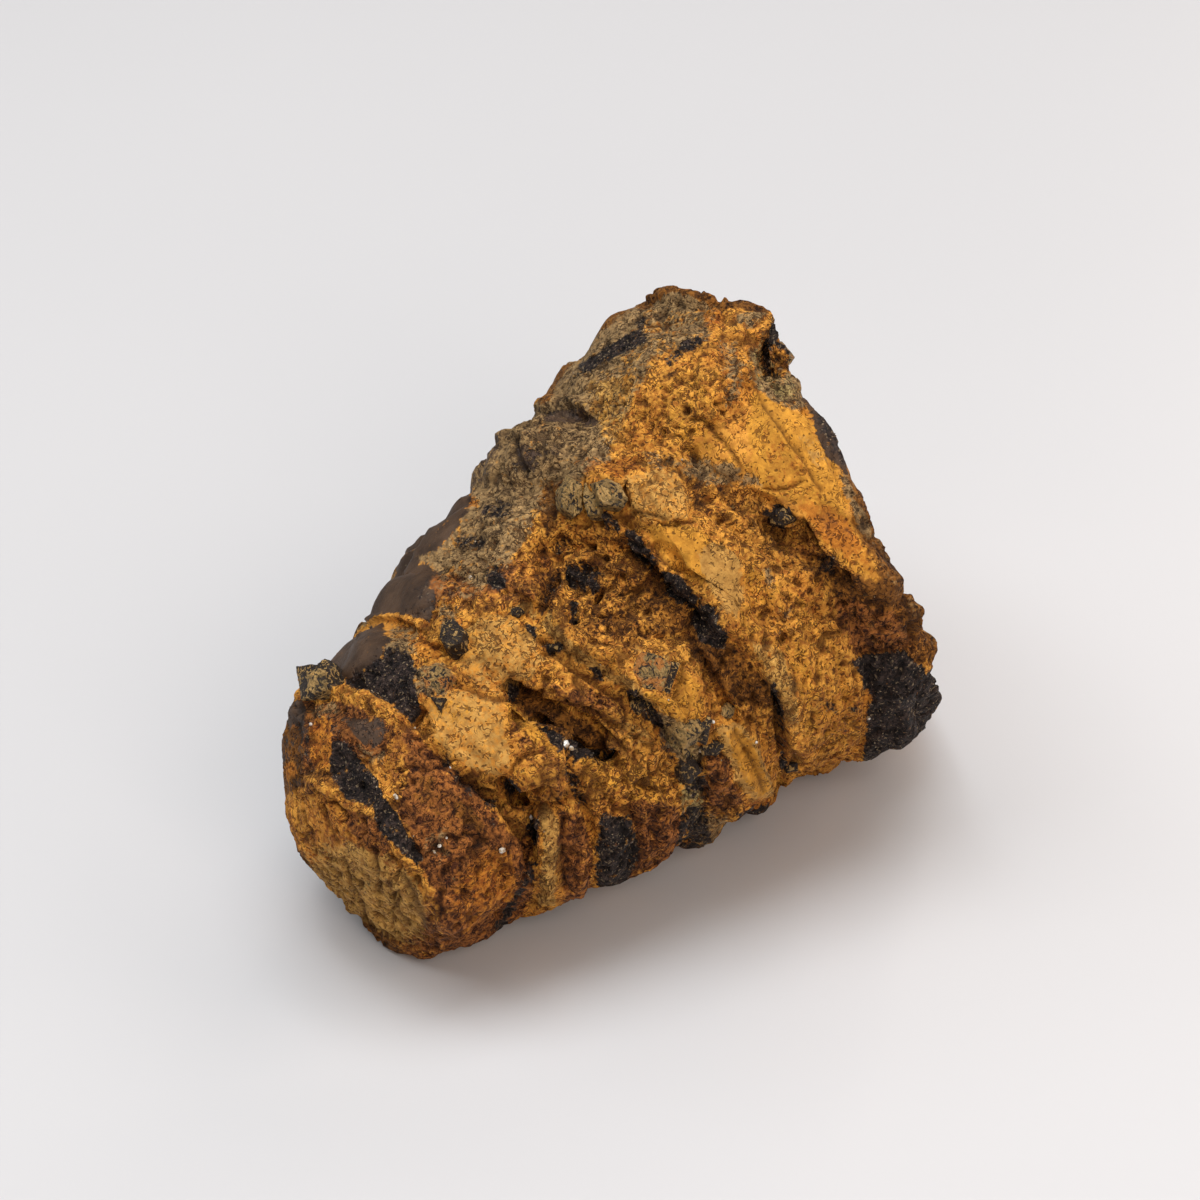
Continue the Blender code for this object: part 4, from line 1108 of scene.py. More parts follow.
def make_mould(sizes, material):
    """The mould's skin, with its relief, its pits and the shares of its pigments."""
    obj = shared_skin(sizes.skin, WEAR_ROUNDS)
    mesh = obj.data
    points, normals = corner_places(mesh), corner_normals(mesh)
    at = drawn_at(points)
    to_eye = np.array(EYE) - points
    to_eye /= np.linalg.norm(to_eye, axis=1)[:, None]
    facing = np.einsum("ij,ij->i", normals, to_eye)
    shown = smooth(0.0, 0.2, facing)
    seen = smooth(-0.25, -0.05, facing)
    wide, fine = ripples(points, 1.3, 3.0), ripples(points, 0.6, 5.0)
    other, finer = ripples(points, 1.3, 7.0), ripples(points, 0.6, 9.0)
    warp = np.stack((wide * WAVER + fine * WAVER, other * WAVER + finer * WAVER), axis=1)
    lift, crack = carve(at, shown, warp)
    lift += swell(points, at, facing)
    # round the sides that the marks don't reach, every septum left a worn groove
    reach = septum_reach(points) + 0.3 * wide
    groove = mound(reach, GROOVE_REACH) * smooth(-0.5, 0.1, ripples(points, 6.0, 61.0))
    lift -= GROOVE_DEPTH * groove * (1.0 - shown)
    hidden = hidden_stains(points, normals, groove)
    quiet = np.clip(hidden["glaze"] + 0.25, 0.0, 1.0)
    calm = plate_calm(at + warp) * seen + quiet * (1.0 - seen)
    pitting = pit_thickness(at + warp, seen)
    rough = 1.0 - calm
    wear = sizes.wear / MM
    lift += rough * wear * (ripples(points, 2.4, 13.0) + 0.7 * wide + 0.8 * fine)
    veins = np.abs(ripples(points, 1.1, 17.0))
    gate = smooth(-0.1, 0.25, ripples(points, 1.6, 19.0) + (pitting - USUAL_PITTING))
    worms = (1.0 - smooth(0.02, 0.14, veins)) * gate
    dots = smooth(0.28, 0.45, ripples(points, 0.75, 29.0) + 0.35 * (pitting - USUAL_PITTING))
    pits = np.clip(worms + dots, 0.0, 1.0) * np.clip(rough + 0.1, 0.0, 1.0)
    lift -= sizes.pit_depth / MM * pits
    # the material paints the pits and the narrow cracks darker: dirt in them, and painted shade in the
    # recesses
    pits = np.maximum(pits, crack)
    flakes = np.floor(ripples(points, 3.2, 41.0) * 5.0 + 0.35 * fine)
    lift += FLAKE_STEP * rough * (1.0 - 0.5 * shown) * (flakes - np.floor(flakes.mean()))
    # the bed stays flat
    lift *= smooth(BED_LOW, BED_HIGH, points[:, 2])
    points = keep_in_box(points + normals * lift[:, None])
    mesh.vertices.foreach_set("co", (points * MM).ravel())
    # the colours are laid on the finished relief, where it is drawn now
    at = drawn_at(points)
    shares = paint(at, seen, warp, hidden)
    pitting = pit_thickness(at + warp, seen)
    calm = plate_calm(at + warp) * seen + quiet * (1.0 - seen)
    for name, values in {**shares, "pitting": pitting, "pits": pits, "calm": calm}.items():
        mesh.attributes.new(name, "FLOAT", "POINT").data.foreach_set("value", values.astype(np.float32))
    mesh.update()
    # flat places need fewer faces
    mesh.calc_loop_triangles()
    thin = obj.modifiers.new("Fewer faces", "DECIMATE")
    thin.ratio = min(1.0, sizes.most_faces / len(mesh.loop_triangles))
    settle(obj)
    mesh = obj.data
    mesh.name = "mould"
    mesh.shade_smooth()
    mesh.materials.clear()
    mesh.materials.append(material)
    return obj


# ---------------------------------------------------------------- crystals and grains

# Crystals: the name, the finish, where they are anchored, how far their faces stand above the skin there, how
# far their faces lean to the right and up, how deep they go, and the outline of the face.
CRYSTALS = [
    ("corner_block", "dark", (312, 686), 0.7, (-0.35, 0.1), 3.0, [
        (293, 665), (308, 663), (326, 664), (330, 688), (312, 697), (298, 698),
    ]),
    ("corner_face", "olive", (316, 682), 1.0, (-0.2, 0.2), 2.4, [
        (305, 671), (316, 667), (325, 670), (324, 688), (312, 693), (306, 688),
    ]),
    ("corner_cap", "dark", (332, 674), 0.7, (0.1, 0.4), 2.4, [
        (316, 662), (324, 656), (336, 660), (338, 676), (332, 684), (326, 680),
    ]),
    ("cluster_right", "olive", (612, 492), 0.75, (0.2, 0.1), 2.4, [
        (596, 482), (608, 478), (620, 484), (629, 498), (624, 508), (602, 504),
    ]),
    ("cluster_left", "olive", (576, 500), 0.65, (-0.3, 0.1), 2.0, [
        (562, 492), (572, 478), (582, 484), (584, 510), (574, 518), (562, 508),
    ]),
    ("cluster_middle", "olive", (592, 494), 0.7, (-0.05, 0.15), 2.0, [
        (584, 482), (596, 482), (602, 500), (600, 514), (588, 516), (582, 500),
    ]),
    ("square_crystal", "stained", (650, 674), 0.5, (-0.15, 0.25), 2.0, [
        (642, 650), (662, 655), (672, 662), (662, 692), (646, 688), (629, 672),
    ]),
    # the square crystal's right side, turned away from the light, is a dark crystal: dark face and painted
    # shade
    ("square_shaded_side", "dark", (668, 680), 0.3, (0.5, 0.0), 1.6, [
        (671, 662), (682, 663), (670, 696), (660, 692),
    ]),
    ("notch_block", "stained", (776, 360), -0.1, (0.1, -0.1), 1.8, [
        (769, 348), (780, 345), (792, 360), (784, 369), (770, 368),
    ]),
    ("spiky_crystal", "dark", (450, 632), 0.5, (0.0, 0.2), 1.6, [
        (440, 622), (452, 617), (463, 628), (460, 641), (446, 646), (438, 636),
    ]),
    ("seam_crystal_a", "olive", (672, 734), 0.7, (-0.3, 0.2), 1.6, [
        (662, 722), (676, 718), (690, 738), (684, 750), (668, 744),
    ]),
    ("seam_crystal_b", "dark", (650, 706), 0.35, (0.3, -0.2), 1.5, [
        (638, 700), (650, 698), (662, 712), (652, 716),
    ]),
    ("seam_crystal_c", "dark", (690, 768), 0.4, (0.2, 0.2), 1.6, [
        (680, 756), (694, 754), (702, 772), (692, 784), (682, 774),
    ]),
    ("seam_crystal_d", "dark", (704, 728), 0.6, (-0.2, 0.3), 1.4, [
        (694, 728), (708, 715), (712, 720), (706, 742), (697, 738),
    ]),
    ("seam_crystal_e", "olive", (728, 710), 0.5, (0.1, 0.3), 1.4, [
        (722, 708), (728, 701), (737, 706), (734, 716), (724, 716),
    ]),
    ("seam_crystal_f", "dark", (708, 748), 0.35, (0.2, 0.0), 1.4, [
        (698, 746), (712, 740), (724, 746), (718, 756), (702, 756),
    ]),
    ("seam_crystal_g", "olive", (684, 744), 0.6, (0.2, 0.1), 1.4, [
        (678, 738), (688, 734), (696, 748), (688, 758), (679, 750),
    ]),
    ("bead_a", "dark", (638, 700), 0.4, (0.1, 0.2), 1.2, [
        (628, 694), (636, 690), (646, 700), (640, 710), (630, 706),
    ]),
    ("bead_b", "dark", (518, 612), 0.3, (0.0, 0.2), 1.0, [
        (512, 608), (520, 606), (525, 613), (519, 618), (512, 615),
    ]),
    ("bead_c", "dark", (553, 648), 0.3, (0.1, 0.1), 1.0, [
        (545, 646), (554, 642), (562, 647), (558, 653), (548, 654),
    ]),
    ("plate_crystal", "stained", (434, 682), 0.4, (0.1, 0.3), 1.6, [
        (420, 672), (436, 664), (450, 676), (446, 694), (428, 694),
    ]),
    ("black_triangle", "dark", (438, 700), 0.3, (0.0, 0.2), 1.2, [(430, 696), (446, 696), (440, 709)]),
    ("ledge_crystal", "dark", (778, 518), 0.35, (0.1, 0.2), 1.4, [
        (768, 512), (782, 508), (790, 520), (780, 528), (768, 524),
    ]),
    ("foot_crystal", "dark", (790, 768), 0.35, (0.1, -0.1), 1.2, [
        (782, 766), (797, 763), (799, 772), (786, 775),
    ]),
]

CRYSTAL_EDGE = 0.06  # width of a crystal's worn edges, in mm
CRYSTAL_CREASE = 24.0  # degrees between faces past which a crystal's edge stays sharp

# Clear and white grains that catch the light: where, and how wide.
SPARKLES = [
    ((396, 797), 0.42), ((502, 850), 0.42), ((530, 817), 0.36), ((566, 744), 0.55), ((572, 748), 0.4),
    ((440, 845), 0.26), ((446, 838), 0.22), ((434, 852), 0.22), ((680, 735), 0.36), ((700, 750), 0.4),
    ((311, 725), 0.26), ((784, 520), 0.34), ((712, 722), 0.34), ((728, 704), 0.3), ((756, 742), 0.26),
    ((668, 700), 0.2), ((470, 578), 0.24), ((634, 700), 0.24), ((868, 718), 0.3), ((690, 748), 0.28),
    ((414, 728), 0.24), ((450, 768), 0.22), ((682, 460), 0.2),
]


def prism(shape, face, depth, bevel, dice):
    """Adds a block with this front, broken into slanting facets. It goes depth inwards and is wider there,
    and its edges are worn."""
    tone = shape.faces.layers.float["facet_shade"]
    middle = sum(face, Vector()) / len(face)
    normal = (face[1] - face[0]).cross(face[2] - face[0]).normalized()
    if normal.dot(VIEW_BACK) < 0.0:
        face, normal = face[::-1], -normal
    top = middle.lerp(dice.choice(face), dice.uniform(0.1, 0.4))
    crown = shape.verts.new(top + normal * dice.uniform(0.02, 0.16))
    front = [shape.verts.new(p - normal * dice.uniform(0.0, 0.25)) for p in face]
    rear = [shape.verts.new(middle + (p - middle) * 1.15 - normal * depth) for p in face]
    faces = [shape.faces.new(rear[::-1])]
    for i in range(len(front)):
        j = (i + 1) % len(front)
        faces.append(shape.faces.new((front[j], front[i], rear[i], rear[j])))
        faces.append(shape.faces.new((crown, front[i], front[j])))
        # each facet of the crown gets its own brightness, at random: painted light and shade of the facets
        faces[-1][tone] = dice.uniform(-1.0, 1.0)
    edges = list({edge for f in faces for edge in f.edges if crown not in edge.verts})
    bmesh.ops.bevel(shape, geom=edges, offset=bevel, segments=1, affect="EDGES", profile=0.6)


def make_crystals(skin, materials):
    """Every crystal of one finish as one piece, each standing in the skin where it is drawn."""
    made = []
    dice = random.Random(12)
    for finish, material in materials.items():
        shape = bmesh.new()
        shape.faces.layers.float.new("facet_shade")
        for _, kind, anchor, lift, lean, depth, outline in CRYSTALS:
            if kind != finish:
                continue
            place, normal, _, _ = skin.ray_cast(EYE, sight_line(*anchor))
            facing = (normal + VIEW_BACK * 0.8 + VIEW_RIGHT * lean[0] + VIEW_UP * lean[1]).normalized()
            through = place + normal * lift
            corners = []
            for pixel in outline:
                line = sight_line(*pixel)
                corners.append(EYE + line * ((through - EYE).dot(facing) / line.dot(facing)))
            prism(shape, corners, depth, CRYSTAL_EDGE, dice)
        bmesh.ops.triangulate(shape, faces=shape.faces)
        bmesh.ops.subdivide_edges(shape, edges=shape.edges, cuts=4, use_grid_fill=True)
        shape.normal_update()
        for v in shape.verts:
            grooves = noise.noise(Vector((v.co.x * 5.0, v.co.y * 1.2, v.co.z * 1.6)))
            coarse, fine = noise.noise(v.co / 0.6), noise.noise(v.co / 0.2)
            v.co += v.normal * (0.05 * coarse + 0.04 * grooves + 0.04 * fine)
            v.co = Vector(keep_in_box(np.array(v.co)[None])[0])
        bmesh.ops.recalc_face_normals(shape, faces=shape.faces)
        bmesh.ops.scale(shape, vec=(MM, MM, MM), verts=shape.verts)
        mesh = bpy.data.meshes.new(f"crystals_{finish}")
        shape.to_mesh(mesh)
        shape.free()
        mesh.shade_smooth()
        mesh.set_sharp_from_angle(angle=math.radians(CRYSTAL_CREASE))
        mesh.materials.append(material)
        made.append(fossil_mesh(f"crystals_{finish}", mesh))
    return made


def make_sparkles(skin, material):
    """Small clear crystals, each an uneven eight-sided grain half sunk in the skin."""
    dice = random.Random(8)
    shape = bmesh.new()
    for pixel, width in SPARKLES:
        place, normal, _, _ = skin.ray_cast(EYE, sight_line(*pixel))
        grain = bmesh.ops.create_icosphere(shape, subdivisions=1, radius=width / 2)["verts"]
        squeeze = Vector([dice.uniform(0.6, 1.3) for _ in range(3)])
        turn = Euler([dice.uniform(0.0, FULL_TURN) for _ in range(3)]).to_matrix()
        for v in grain:
            v.co = turn @ Vector([a * b for a, b in zip(v.co, squeeze)]) + place + normal * width * 0.2
    bmesh.ops.scale(shape, vec=(MM, MM, MM), verts=shape.verts)
    mesh = bpy.data.meshes.new("sparkles")
    shape.to_mesh(mesh)
    shape.free()
    mesh.materials.append(material)
    return fossil_mesh("sparkles", mesh)


def grain_tree(material):
    """A node tree that scatters small angular grains over the dark skin."""
    tree = bpy.data.node_groups.new("loose_grains", "GeometryNodeTree")
    sockets = {}
    for name, kind, way in (
        ("Geometry", "NodeSocketGeometry", "INPUT"),
        ("Density", "NodeSocketFloat", "INPUT"),
        ("Grain width", "NodeSocketFloat", "INPUT"),
        ("Seed", "NodeSocketInt", "INPUT"),
        ("Geometry", "NodeSocketGeometry", "OUTPUT"),
    ):
        sockets[name, way] = tree.interface.new_socket(name=name, in_out=way, socket_type=kind).identifier
    given = add(tree, "NodeGroupInput", out=None)
    black, grey = (
        add(tree, "GeometryNodeInputNamedAttribute", {"data_type": "FLOAT"}, {"Name": name}, out="Attribute")
        for name in ("black", "patina")
    )
    dark = add(tree, MATHS, {"operation": "MULTIPLY_ADD", "use_clamp": True}, {0: grey, 1: 0.12, 2: black})
    density = add(tree, MATHS, MULTIPLY, {0: dark, 1: given["Density"]})
    points = add(
        tree,
        "GeometryNodeDistributePointsOnFaces",
        {},
        {"Mesh": given["Geometry"], "Density": density, "Seed": given["Seed"]},
        out="Points",
    )
    reach = {"Radius": given["Grain width"], "Subdivisions": 1}
    ball = add(tree, "GeometryNodeMeshIcoSphere", {}, reach, out="Mesh")
    chance, arrow = "FunctionNodeRandomValue", {"data_type": "FLOAT_VECTOR"}
    size, turn = (
        add(tree, chance, arrow, {0: low, 1: high, "Seed": seed}, out="Value")
        for low, high, seed in (
            ((0.25, 0.25, 0.2), (0.8, 0.7, 0.5), 3),
            ((0.0, 0.0, 0.0), (FULL_TURN, FULL_TURN, FULL_TURN), 5),
        )
    )
    spread = add(
        tree,
        "GeometryNodeInstanceOnPoints",
        {},
        {"Points": points, "Instance": ball, "Rotation": turn, "Scale": size},
    )
    real = add(tree, "GeometryNodeRealizeInstances", {}, {"Geometry": spread})
    finish = add(tree, "GeometryNodeSetMaterial", {}, {"Geometry": real, "Material": material})
    add(tree, "NodeGroupOutput", {}, {0: finish}, out=None)
    return tree, sockets


def make_grains(mould, sizes, material):
    """The loose grains as one plain mesh."""
    tree, sockets = grain_tree(material)
    obj = fossil_mesh("grains", mould.data)
    scatter = obj.modifiers.new("Loose grains", "NODES")
    scatter.node_group = tree
    scatter[sockets["Density", "INPUT"]] = sizes.grain_count
    scatter[sockets["Grain width", "INPUT"]] = sizes.grain / 2
    scatter[sockets["Seed", "INPUT"]] = 4
    settle(obj)
    points = keep_in_box(corner_places(obj.data))
    obj.data.vertices.foreach_set("co", (points * MM).ravel())
    return obj


# ---------------------------------------------------------------- materials


NOISE, MATHS, RAMP = "ShaderNodeTexNoise", "ShaderNodeMath", "ShaderNodeMapRange"
MIX, VECTORS, PLACE = "ShaderNodeMix", "ShaderNodeVectorMath", "ShaderNodeTexCoord"
RISE, FALL = {"interpolation_type": "SMOOTHSTEP"}, {"To Min": 1.0, "To Max": 0.0}
COLOURS, DARKEN = {"data_type": "RGBA"}, {"data_type": "RGBA", "blend_type": "MULTIPLY"}
ADD, SCALE = {"operation": "ADD"}, {"operation": "SCALE"}
MULTIPLY, MULTIPLY_ADD = {"operation": "MULTIPLY"}, {"operation": "MULTIPLY_ADD"}
SHARE, UNDER, TOP, BLEND = 0, 6, 7, 2  # the sockets of a colour mix: its three inputs and its result


def add(tree, kind, settings=None, feeds=None, out=0):
    """Adds a node with its settings and with values or links for its inputs, and gives one output, or all of
    them for None."""
    node = tree.nodes.new(kind)
    for name, value in (settings or {}).items():
        setattr(node, name, value)
    for key, value in (feeds or {}).items():
        if isinstance(value, bpy.types.NodeSocket):
            tree.links.new(value, node.inputs[key])
        else:
            node.inputs[key].default_value = value
    return node.outputs if out is None else node.outputs[out]


def plain_material(name, roughness, specular=0.5, ior=1.5):
    """A material, its tree, its Principled shader, and the object's own coordinates in mm."""
    material = bpy.data.materials.new(name)
    material.use_nodes = True
    tree = material.node_tree
    surface = tree.nodes["Principled BSDF"]
    surface.inputs["Roughness"].default_value = roughness
    surface.inputs["Specular IOR Level"].default_value = specular
    surface.inputs["IOR"].default_value = ior
    where = add(tree, VECTORS, SCALE, {0: add(tree, PLACE, out="Object"), "Scale": 1.0 / MM})
    return material, tree, surface, where


def ironstone_material(sizes, colours):
    """Weathered ironstone: limonite and haematite left by rotting pyrite and siderite. It is earthy, so it is
    matt and pitted, and its brown glaze and its black manganese crust are smoother and shine a little."""
    material, tree, surface, where = plain_material("ironstone_weathered", 0.85, specular=0.22, ior=1.52)
    spacing = sizes.fine_pit / MM
    shares = {
        name: add(tree, "ShaderNodeAttribute", {"attribute_name": name}, out="Fac")
        for name in (*PIGMENTS, "pitting", "pits", "calm")
    }
    # noises: the width of their lumps in mm, detail, distortion, roughness
    noises = {
        name: add(
            tree,
            NOISE,
            {},
            {"Vector": where, "Scale": 1.0 / width, "Detail": detail, "Distortion": bend, "Roughness": rough},
        )
        for name, width, detail, bend, rough in (
            ("grain", 0.4, 4.0, 0.7, 0.66),
            ("fine grain", 0.24, 3.0, 0.8, 0.6),
            ("ragged", 1.1, 3.0, 0.0, 0.6),
            ("frayed", 0.35, 2.0, 0.5, 0.55),
            ("slow", 1.6, 3.0, 0.0, 0.6),
            ("warmth", 3.4, 2.0, 0.0, 0.55),
            ("worms", spacing, 1.0, 1.1, 0.5),
            ("breaks", 0.55, 1.0, 0.0, 0.5),
            ("patches", 1.2, 2.0, 0.0, 0.55),
            ("dots", spacing * 0.55, 1.0, 0.0, 0.5),
            ("glint", 0.2, 1.0, 0.0, 0.5),
        )
    }
    # grains a quarter to half a millimetre wide, from the same noise that the bump lifts: their crests are
    # dusty and lighter, with painted highlight, and their gaps darker, with painted shade
    rough_dust_and_shading = add(tree, RAMP, RISE, {"Value": noises["grain"], "From Min": 0.37, "From Max": 0.6})
    even = add(tree, MATHS, MULTIPLY, {0: shares["calm"], 1: 0.7})
    crest_dust_and_shading = add(tree, MIX, {"data_type": "FLOAT"}, {0: even, 2: rough_dust_and_shading, 3: 0.62})
    crumb = add(tree, RAMP, RISE, {"Value": noises["fine grain"], "From Min": 0.42, "From Max": 0.58})
    patina_grain_and_shading = add(tree, MIX, {"data_type": "FLOAT"}, {0: 0.35, 2: crest_dust_and_shading, 3: crumb})
    earth, fresh = (
        add(tree, MIX, COLOURS, {SHARE: crest_dust_and_shading, UNDER: dark, TOP: light}, out=BLEND)
        for dark, light in ((colours.ochre, colours.ochre_light), (colours.orange, colours.orange_light))
    )
    fresh_parts = {"Value": noises["warmth"], "From Min": 0.45, "From Max": 0.65, "To Max": 0.6}
    warmth = add(tree, RAMP, RISE, fresh_parts)
    colour = add(tree, MIX, COLOURS, {SHARE: warmth, UNDER: earth, TOP: fresh}, out=BLEND)
    ragged = add(tree, MATHS, ADD, {0: noises["ragged"], 1: noises["frayed"]})
    covers = {}
    for i, name in enumerate(PIGMENTS):
        shifted = add(tree, VECTORS, ADD, {0: where, 1: (7.0 * i, 3.0 * i, -5.0 * i)})
        own = add(tree, NOISE, {}, {"Vector": shifted, "Scale": 1.0 / 0.3, "Detail": 3.0, "Roughness": 0.6})
        edge = add(tree, MATHS, ADD, {0: ragged, 1: own})
        lifted = add(tree, MATHS, MULTIPLY_ADD, {0: edge, 1: 1.0, 2: shares[name]})
        covers[name] = add(tree, RAMP, RISE, {"Value": lifted, "From Min": 1.82, "From Max": 2.24})
        # the light colour lies on the crests of the grain and the dark one in its gaps: the mineral's own two
        # tones, with painted highlight and painted shade; glaze and black take theirs at random
        light, dark = getattr(colours, name + "_light"), getattr(colours, name)
        tuft = {"patina": patina_grain_and_shading, "black": crumb, "glaze": noises["slow"]}.get(name, crest_dust_and_shading)
        pair = add(tree, MIX, COLOURS, {SHARE: tuft, UNDER: dark, TOP: light}, out=BLEND)
        colour = add(tree, MIX, COLOURS, {SHARE: covers[name], UNDER: colour, TOP: pair}, out=BLEND)
    # slow changes of tone
    tone = add(
        tree,
        RAMP,
        RISE,
        {"Value": noises["slow"], "From Min": 0.3, "From Max": 0.7, "To Min": 0.82, "To Max": 1.22},
    )
    colour = add(tree, VECTORS, SCALE, {0: colour, "Scale": tone})
    # winding pits about half a millimetre apart, thick where the skin is eaten and thin on the plates
    thick = shares["pitting"]
    offset = add(tree, MATHS, {"operation": "SUBTRACT"}, {0: noises["worms"], 1: 0.5})
    vein = add(tree, MATHS, {"operation": "ABSOLUTE"}, {0: offset})
    line, rim = (
        add(tree, RAMP, RISE, {"Value": vein, "From Min": low, "From Max": high, **FALL})
        for low, high in ((0.018, 0.062), (0.06, 0.15))
    )
    broken = add(tree, MATHS, ADD, {0: noises["breaks"], 1: noises["patches"]})
    eaten = add(tree, MATHS, MULTIPLY_ADD, {0: thick, 1: 0.5, 2: broken})
    gate = add(tree, RAMP, RISE, {"Value": eaten, "From Min": 1.2, "From Max": 1.36})
    worms = add(tree, MATHS, MULTIPLY, {0: line, 1: gate})
    dotted = add(tree, MATHS, MULTIPLY_ADD, {0: thick, 1: 0.12, 2: noises["dots"]})
    dots = add(tree, RAMP, RISE, {"Value": dotted, "From Min": 0.68, "From Max": 0.76})
    fine = add(tree, MATHS, {"operation": "MAXIMUM"}, {0: worms, 1: dots})
    # the pits and sunk lines are painted darker: dirt, and painted shade in the recesses
    filled = add(tree, MATHS, MULTIPLY_ADD, {0: thick, 1: 0.35, 2: 0.55})
    stained = add(tree, MATHS, MULTIPLY, {0: fine, 1: filled})
    sunk_dirt_and_shade = add(tree, MATHS, MULTIPLY, {0: shares["pits"], 1: 0.75})
    darkened_by_dirt_and_shade = add(tree, MATHS, {"operation": "MAXIMUM"}, {0: stained, 1: sunk_dirt_and_shade})
    # the rims of the pits are painted lighter: a painted highlight on their lips
    rim_highlight = add(tree, MATHS, MULTIPLY, {0: rim, 1: gate})
    lit = add(tree, MATHS, MULTIPLY_ADD, {0: rim_highlight, 1: 0.26, 2: 1.0})
    colour = add(tree, VECTORS, SCALE, {0: colour, "Scale": lit})
    colour = add(tree, MIX, DARKEN, {SHARE: darkened_by_dirt_and_shade, UNDER: colour, TOP: colours.pit_shade_and_dirt}, out=BLEND)
    # pale grains in the black crust and in the grey patina
    glint = add(tree, RAMP, RISE, {"Value": noises["glint"], "From Min": 0.62, "From Max": 0.7})
    grainy = add(tree, MATHS, MULTIPLY_ADD, {0: covers["patina"], 1: 0.2, 2: covers["black"]})
    specks = add(tree, MATHS, MULTIPLY, {0: glint, 1: grainy})
    faint = add(tree, MATHS, {"operation": "MULTIPLY", "use_clamp": True}, {0: specks, 1: 0.55})
    colour = add(tree, MIX, COLOURS, {SHARE: faint, UNDER: colour, TOP: colours.speckle}, out=BLEND)
    tree.links.new(colour, surface.inputs["Base Color"])
    # gloss
    half = add(tree, MATHS, MULTIPLY, {0: covers["black"], 1: 0.5})
    shiny = add(tree, MATHS, {"operation": "MAXIMUM"}, {0: covers["glaze"], 1: half})
    gloss = add(tree, RAMP, {}, {"Value": shiny, "To Min": 0.88, "To Max": 0.58})
    tree.links.new(gloss, surface.inputs["Roughness"])
    # relief
    crumbs = add(tree, "ShaderNodeTexVoronoi", {}, {"Vector": where, "Scale": 1.0 / 0.35}, out="Distance")
    weight = add(tree, MATHS, MULTIPLY_ADD, {0: grainy, 1: -0.7, 2: -0.1})
    bumps = add(tree, MATHS, MULTIPLY, {0: crumbs, 1: weight})
    skin = add(tree, MATHS, MULTIPLY_ADD, {0: noises["grain"], 1: 1.5, 2: bumps})
    height = add(tree, MATHS, MULTIPLY_ADD, {0: fine, 1: -0.9, 2: skin})
    sleek = add(tree, MATHS, {"operation": "MAXIMUM"}, {0: covers["glaze"], 1: shares["calm"]})
    quiet = add(tree, MATHS, MULTIPLY_ADD, {0: sleek, 1: -0.8, 2: 1.0})
    height = add(tree, MATHS, MULTIPLY, {0: height, 1: quiet})
    bump = add(tree, "ShaderNodeBump", {}, {"Strength": 1.0, "Distance": 0.0002, "Height": height})
    tree.links.new(bump, surface.inputs["Normal"])
    return material


def crystal_material(name, colours, share_dark, share_rust):
    """Siderite crystals with grown, striped faces: they have a dull shine, fine parallel ridges, and rust in
    the low places."""
    material, tree, surface, where = plain_material(name, 0.6, specular=0.3, ior=1.6)
    stretched = add(tree, VECTORS, MULTIPLY, {0: where, 1: (5.0, 1.2, 1.6)})
    stripes = add(tree, NOISE, {}, {"Vector": stretched, "Scale": 1.0, "Detail": 3.0, "Distortion": 0.8})
    mottle = add(tree, NOISE, {}, {"Vector": where, "Scale": 1.0 / 0.32, "Detail": 4.0, "Distortion": 1.0})
    stain = add(tree, NOISE, {}, {"Vector": where, "Scale": 1.0 / 0.7, "Detail": 4.0})
    both = add(tree, MATHS, ADD, {0: stripes, 1: mottle})
    tone = add(tree, RAMP, RISE, {"Value": both, "From Min": 0.84, "From Max": 1.14})
    colour = add(tree, MIX, COLOURS, {SHARE: tone, UNDER: colours.olive, TOP: colours.crystal}, out=BLEND)
    # each facet is made lighter or darker by its own number: painted light and shade of the facets
    facet_shade = add(tree, "ShaderNodeAttribute", {"attribute_name": "facet_shade"}, out="Fac")
    facet_lighting = add(tree, MATHS, MULTIPLY_ADD, {0: facet_shade, 1: 0.35, 2: 1.0})
    colour = add(tree, VECTORS, SCALE, {0: colour, "Scale": facet_lighting})
    bare = 1.0 - share_rust
    rust = add(tree, RAMP, RISE, {"Value": stain, "From Min": bare, "From Max": bare + 0.1, "To Max": 0.85})
    colour = add(tree, MIX, COLOURS, {SHARE: rust, UNDER: colour, TOP: colours.ochre}, out=BLEND)
    low_parts = {"Value": mottle, "From Min": share_dark, "From Max": share_dark + 0.05}
    dark = add(tree, RAMP, RISE, {**low_parts, **FALL})
    colour = add(tree, MIX, COLOURS, {SHARE: dark, UNDER: colour, TOP: colours.crystal_dark}, out=BLEND)
    tree.links.new(colour, surface.inputs["Base Color"])
    height = add(tree, MATHS, MULTIPLY_ADD, {0: mottle, 1: 1.2, 2: stripes})
    bump = add(tree, "ShaderNodeBump", {}, {"Strength": 1.0, "Distance": 0.0003, "Height": height})
    tree.links.new(bump, surface.inputs["Normal"])
    return material


def grain_material(name, dark, light, roughness):
    """Broken mineral grains: glassy faces that catch the light, each grain its own tone."""
    material, tree, surface, where = plain_material(name, roughness, specular=0.6, ior=1.6)
    noise_value = add(tree, NOISE, {}, {"Vector": where, "Scale": 1.0 / 0.3, "Detail": 1.0})
    tone = add(tree, RAMP, RISE, {"Value": noise_value, "From Min": 0.35, "From Max": 0.65})
    colour = add(tree, MIX, COLOURS, {SHARE: tone, UNDER: dark, TOP: light}, out=BLEND)
    tree.links.new(colour, surface.inputs["Base Color"])
    return material


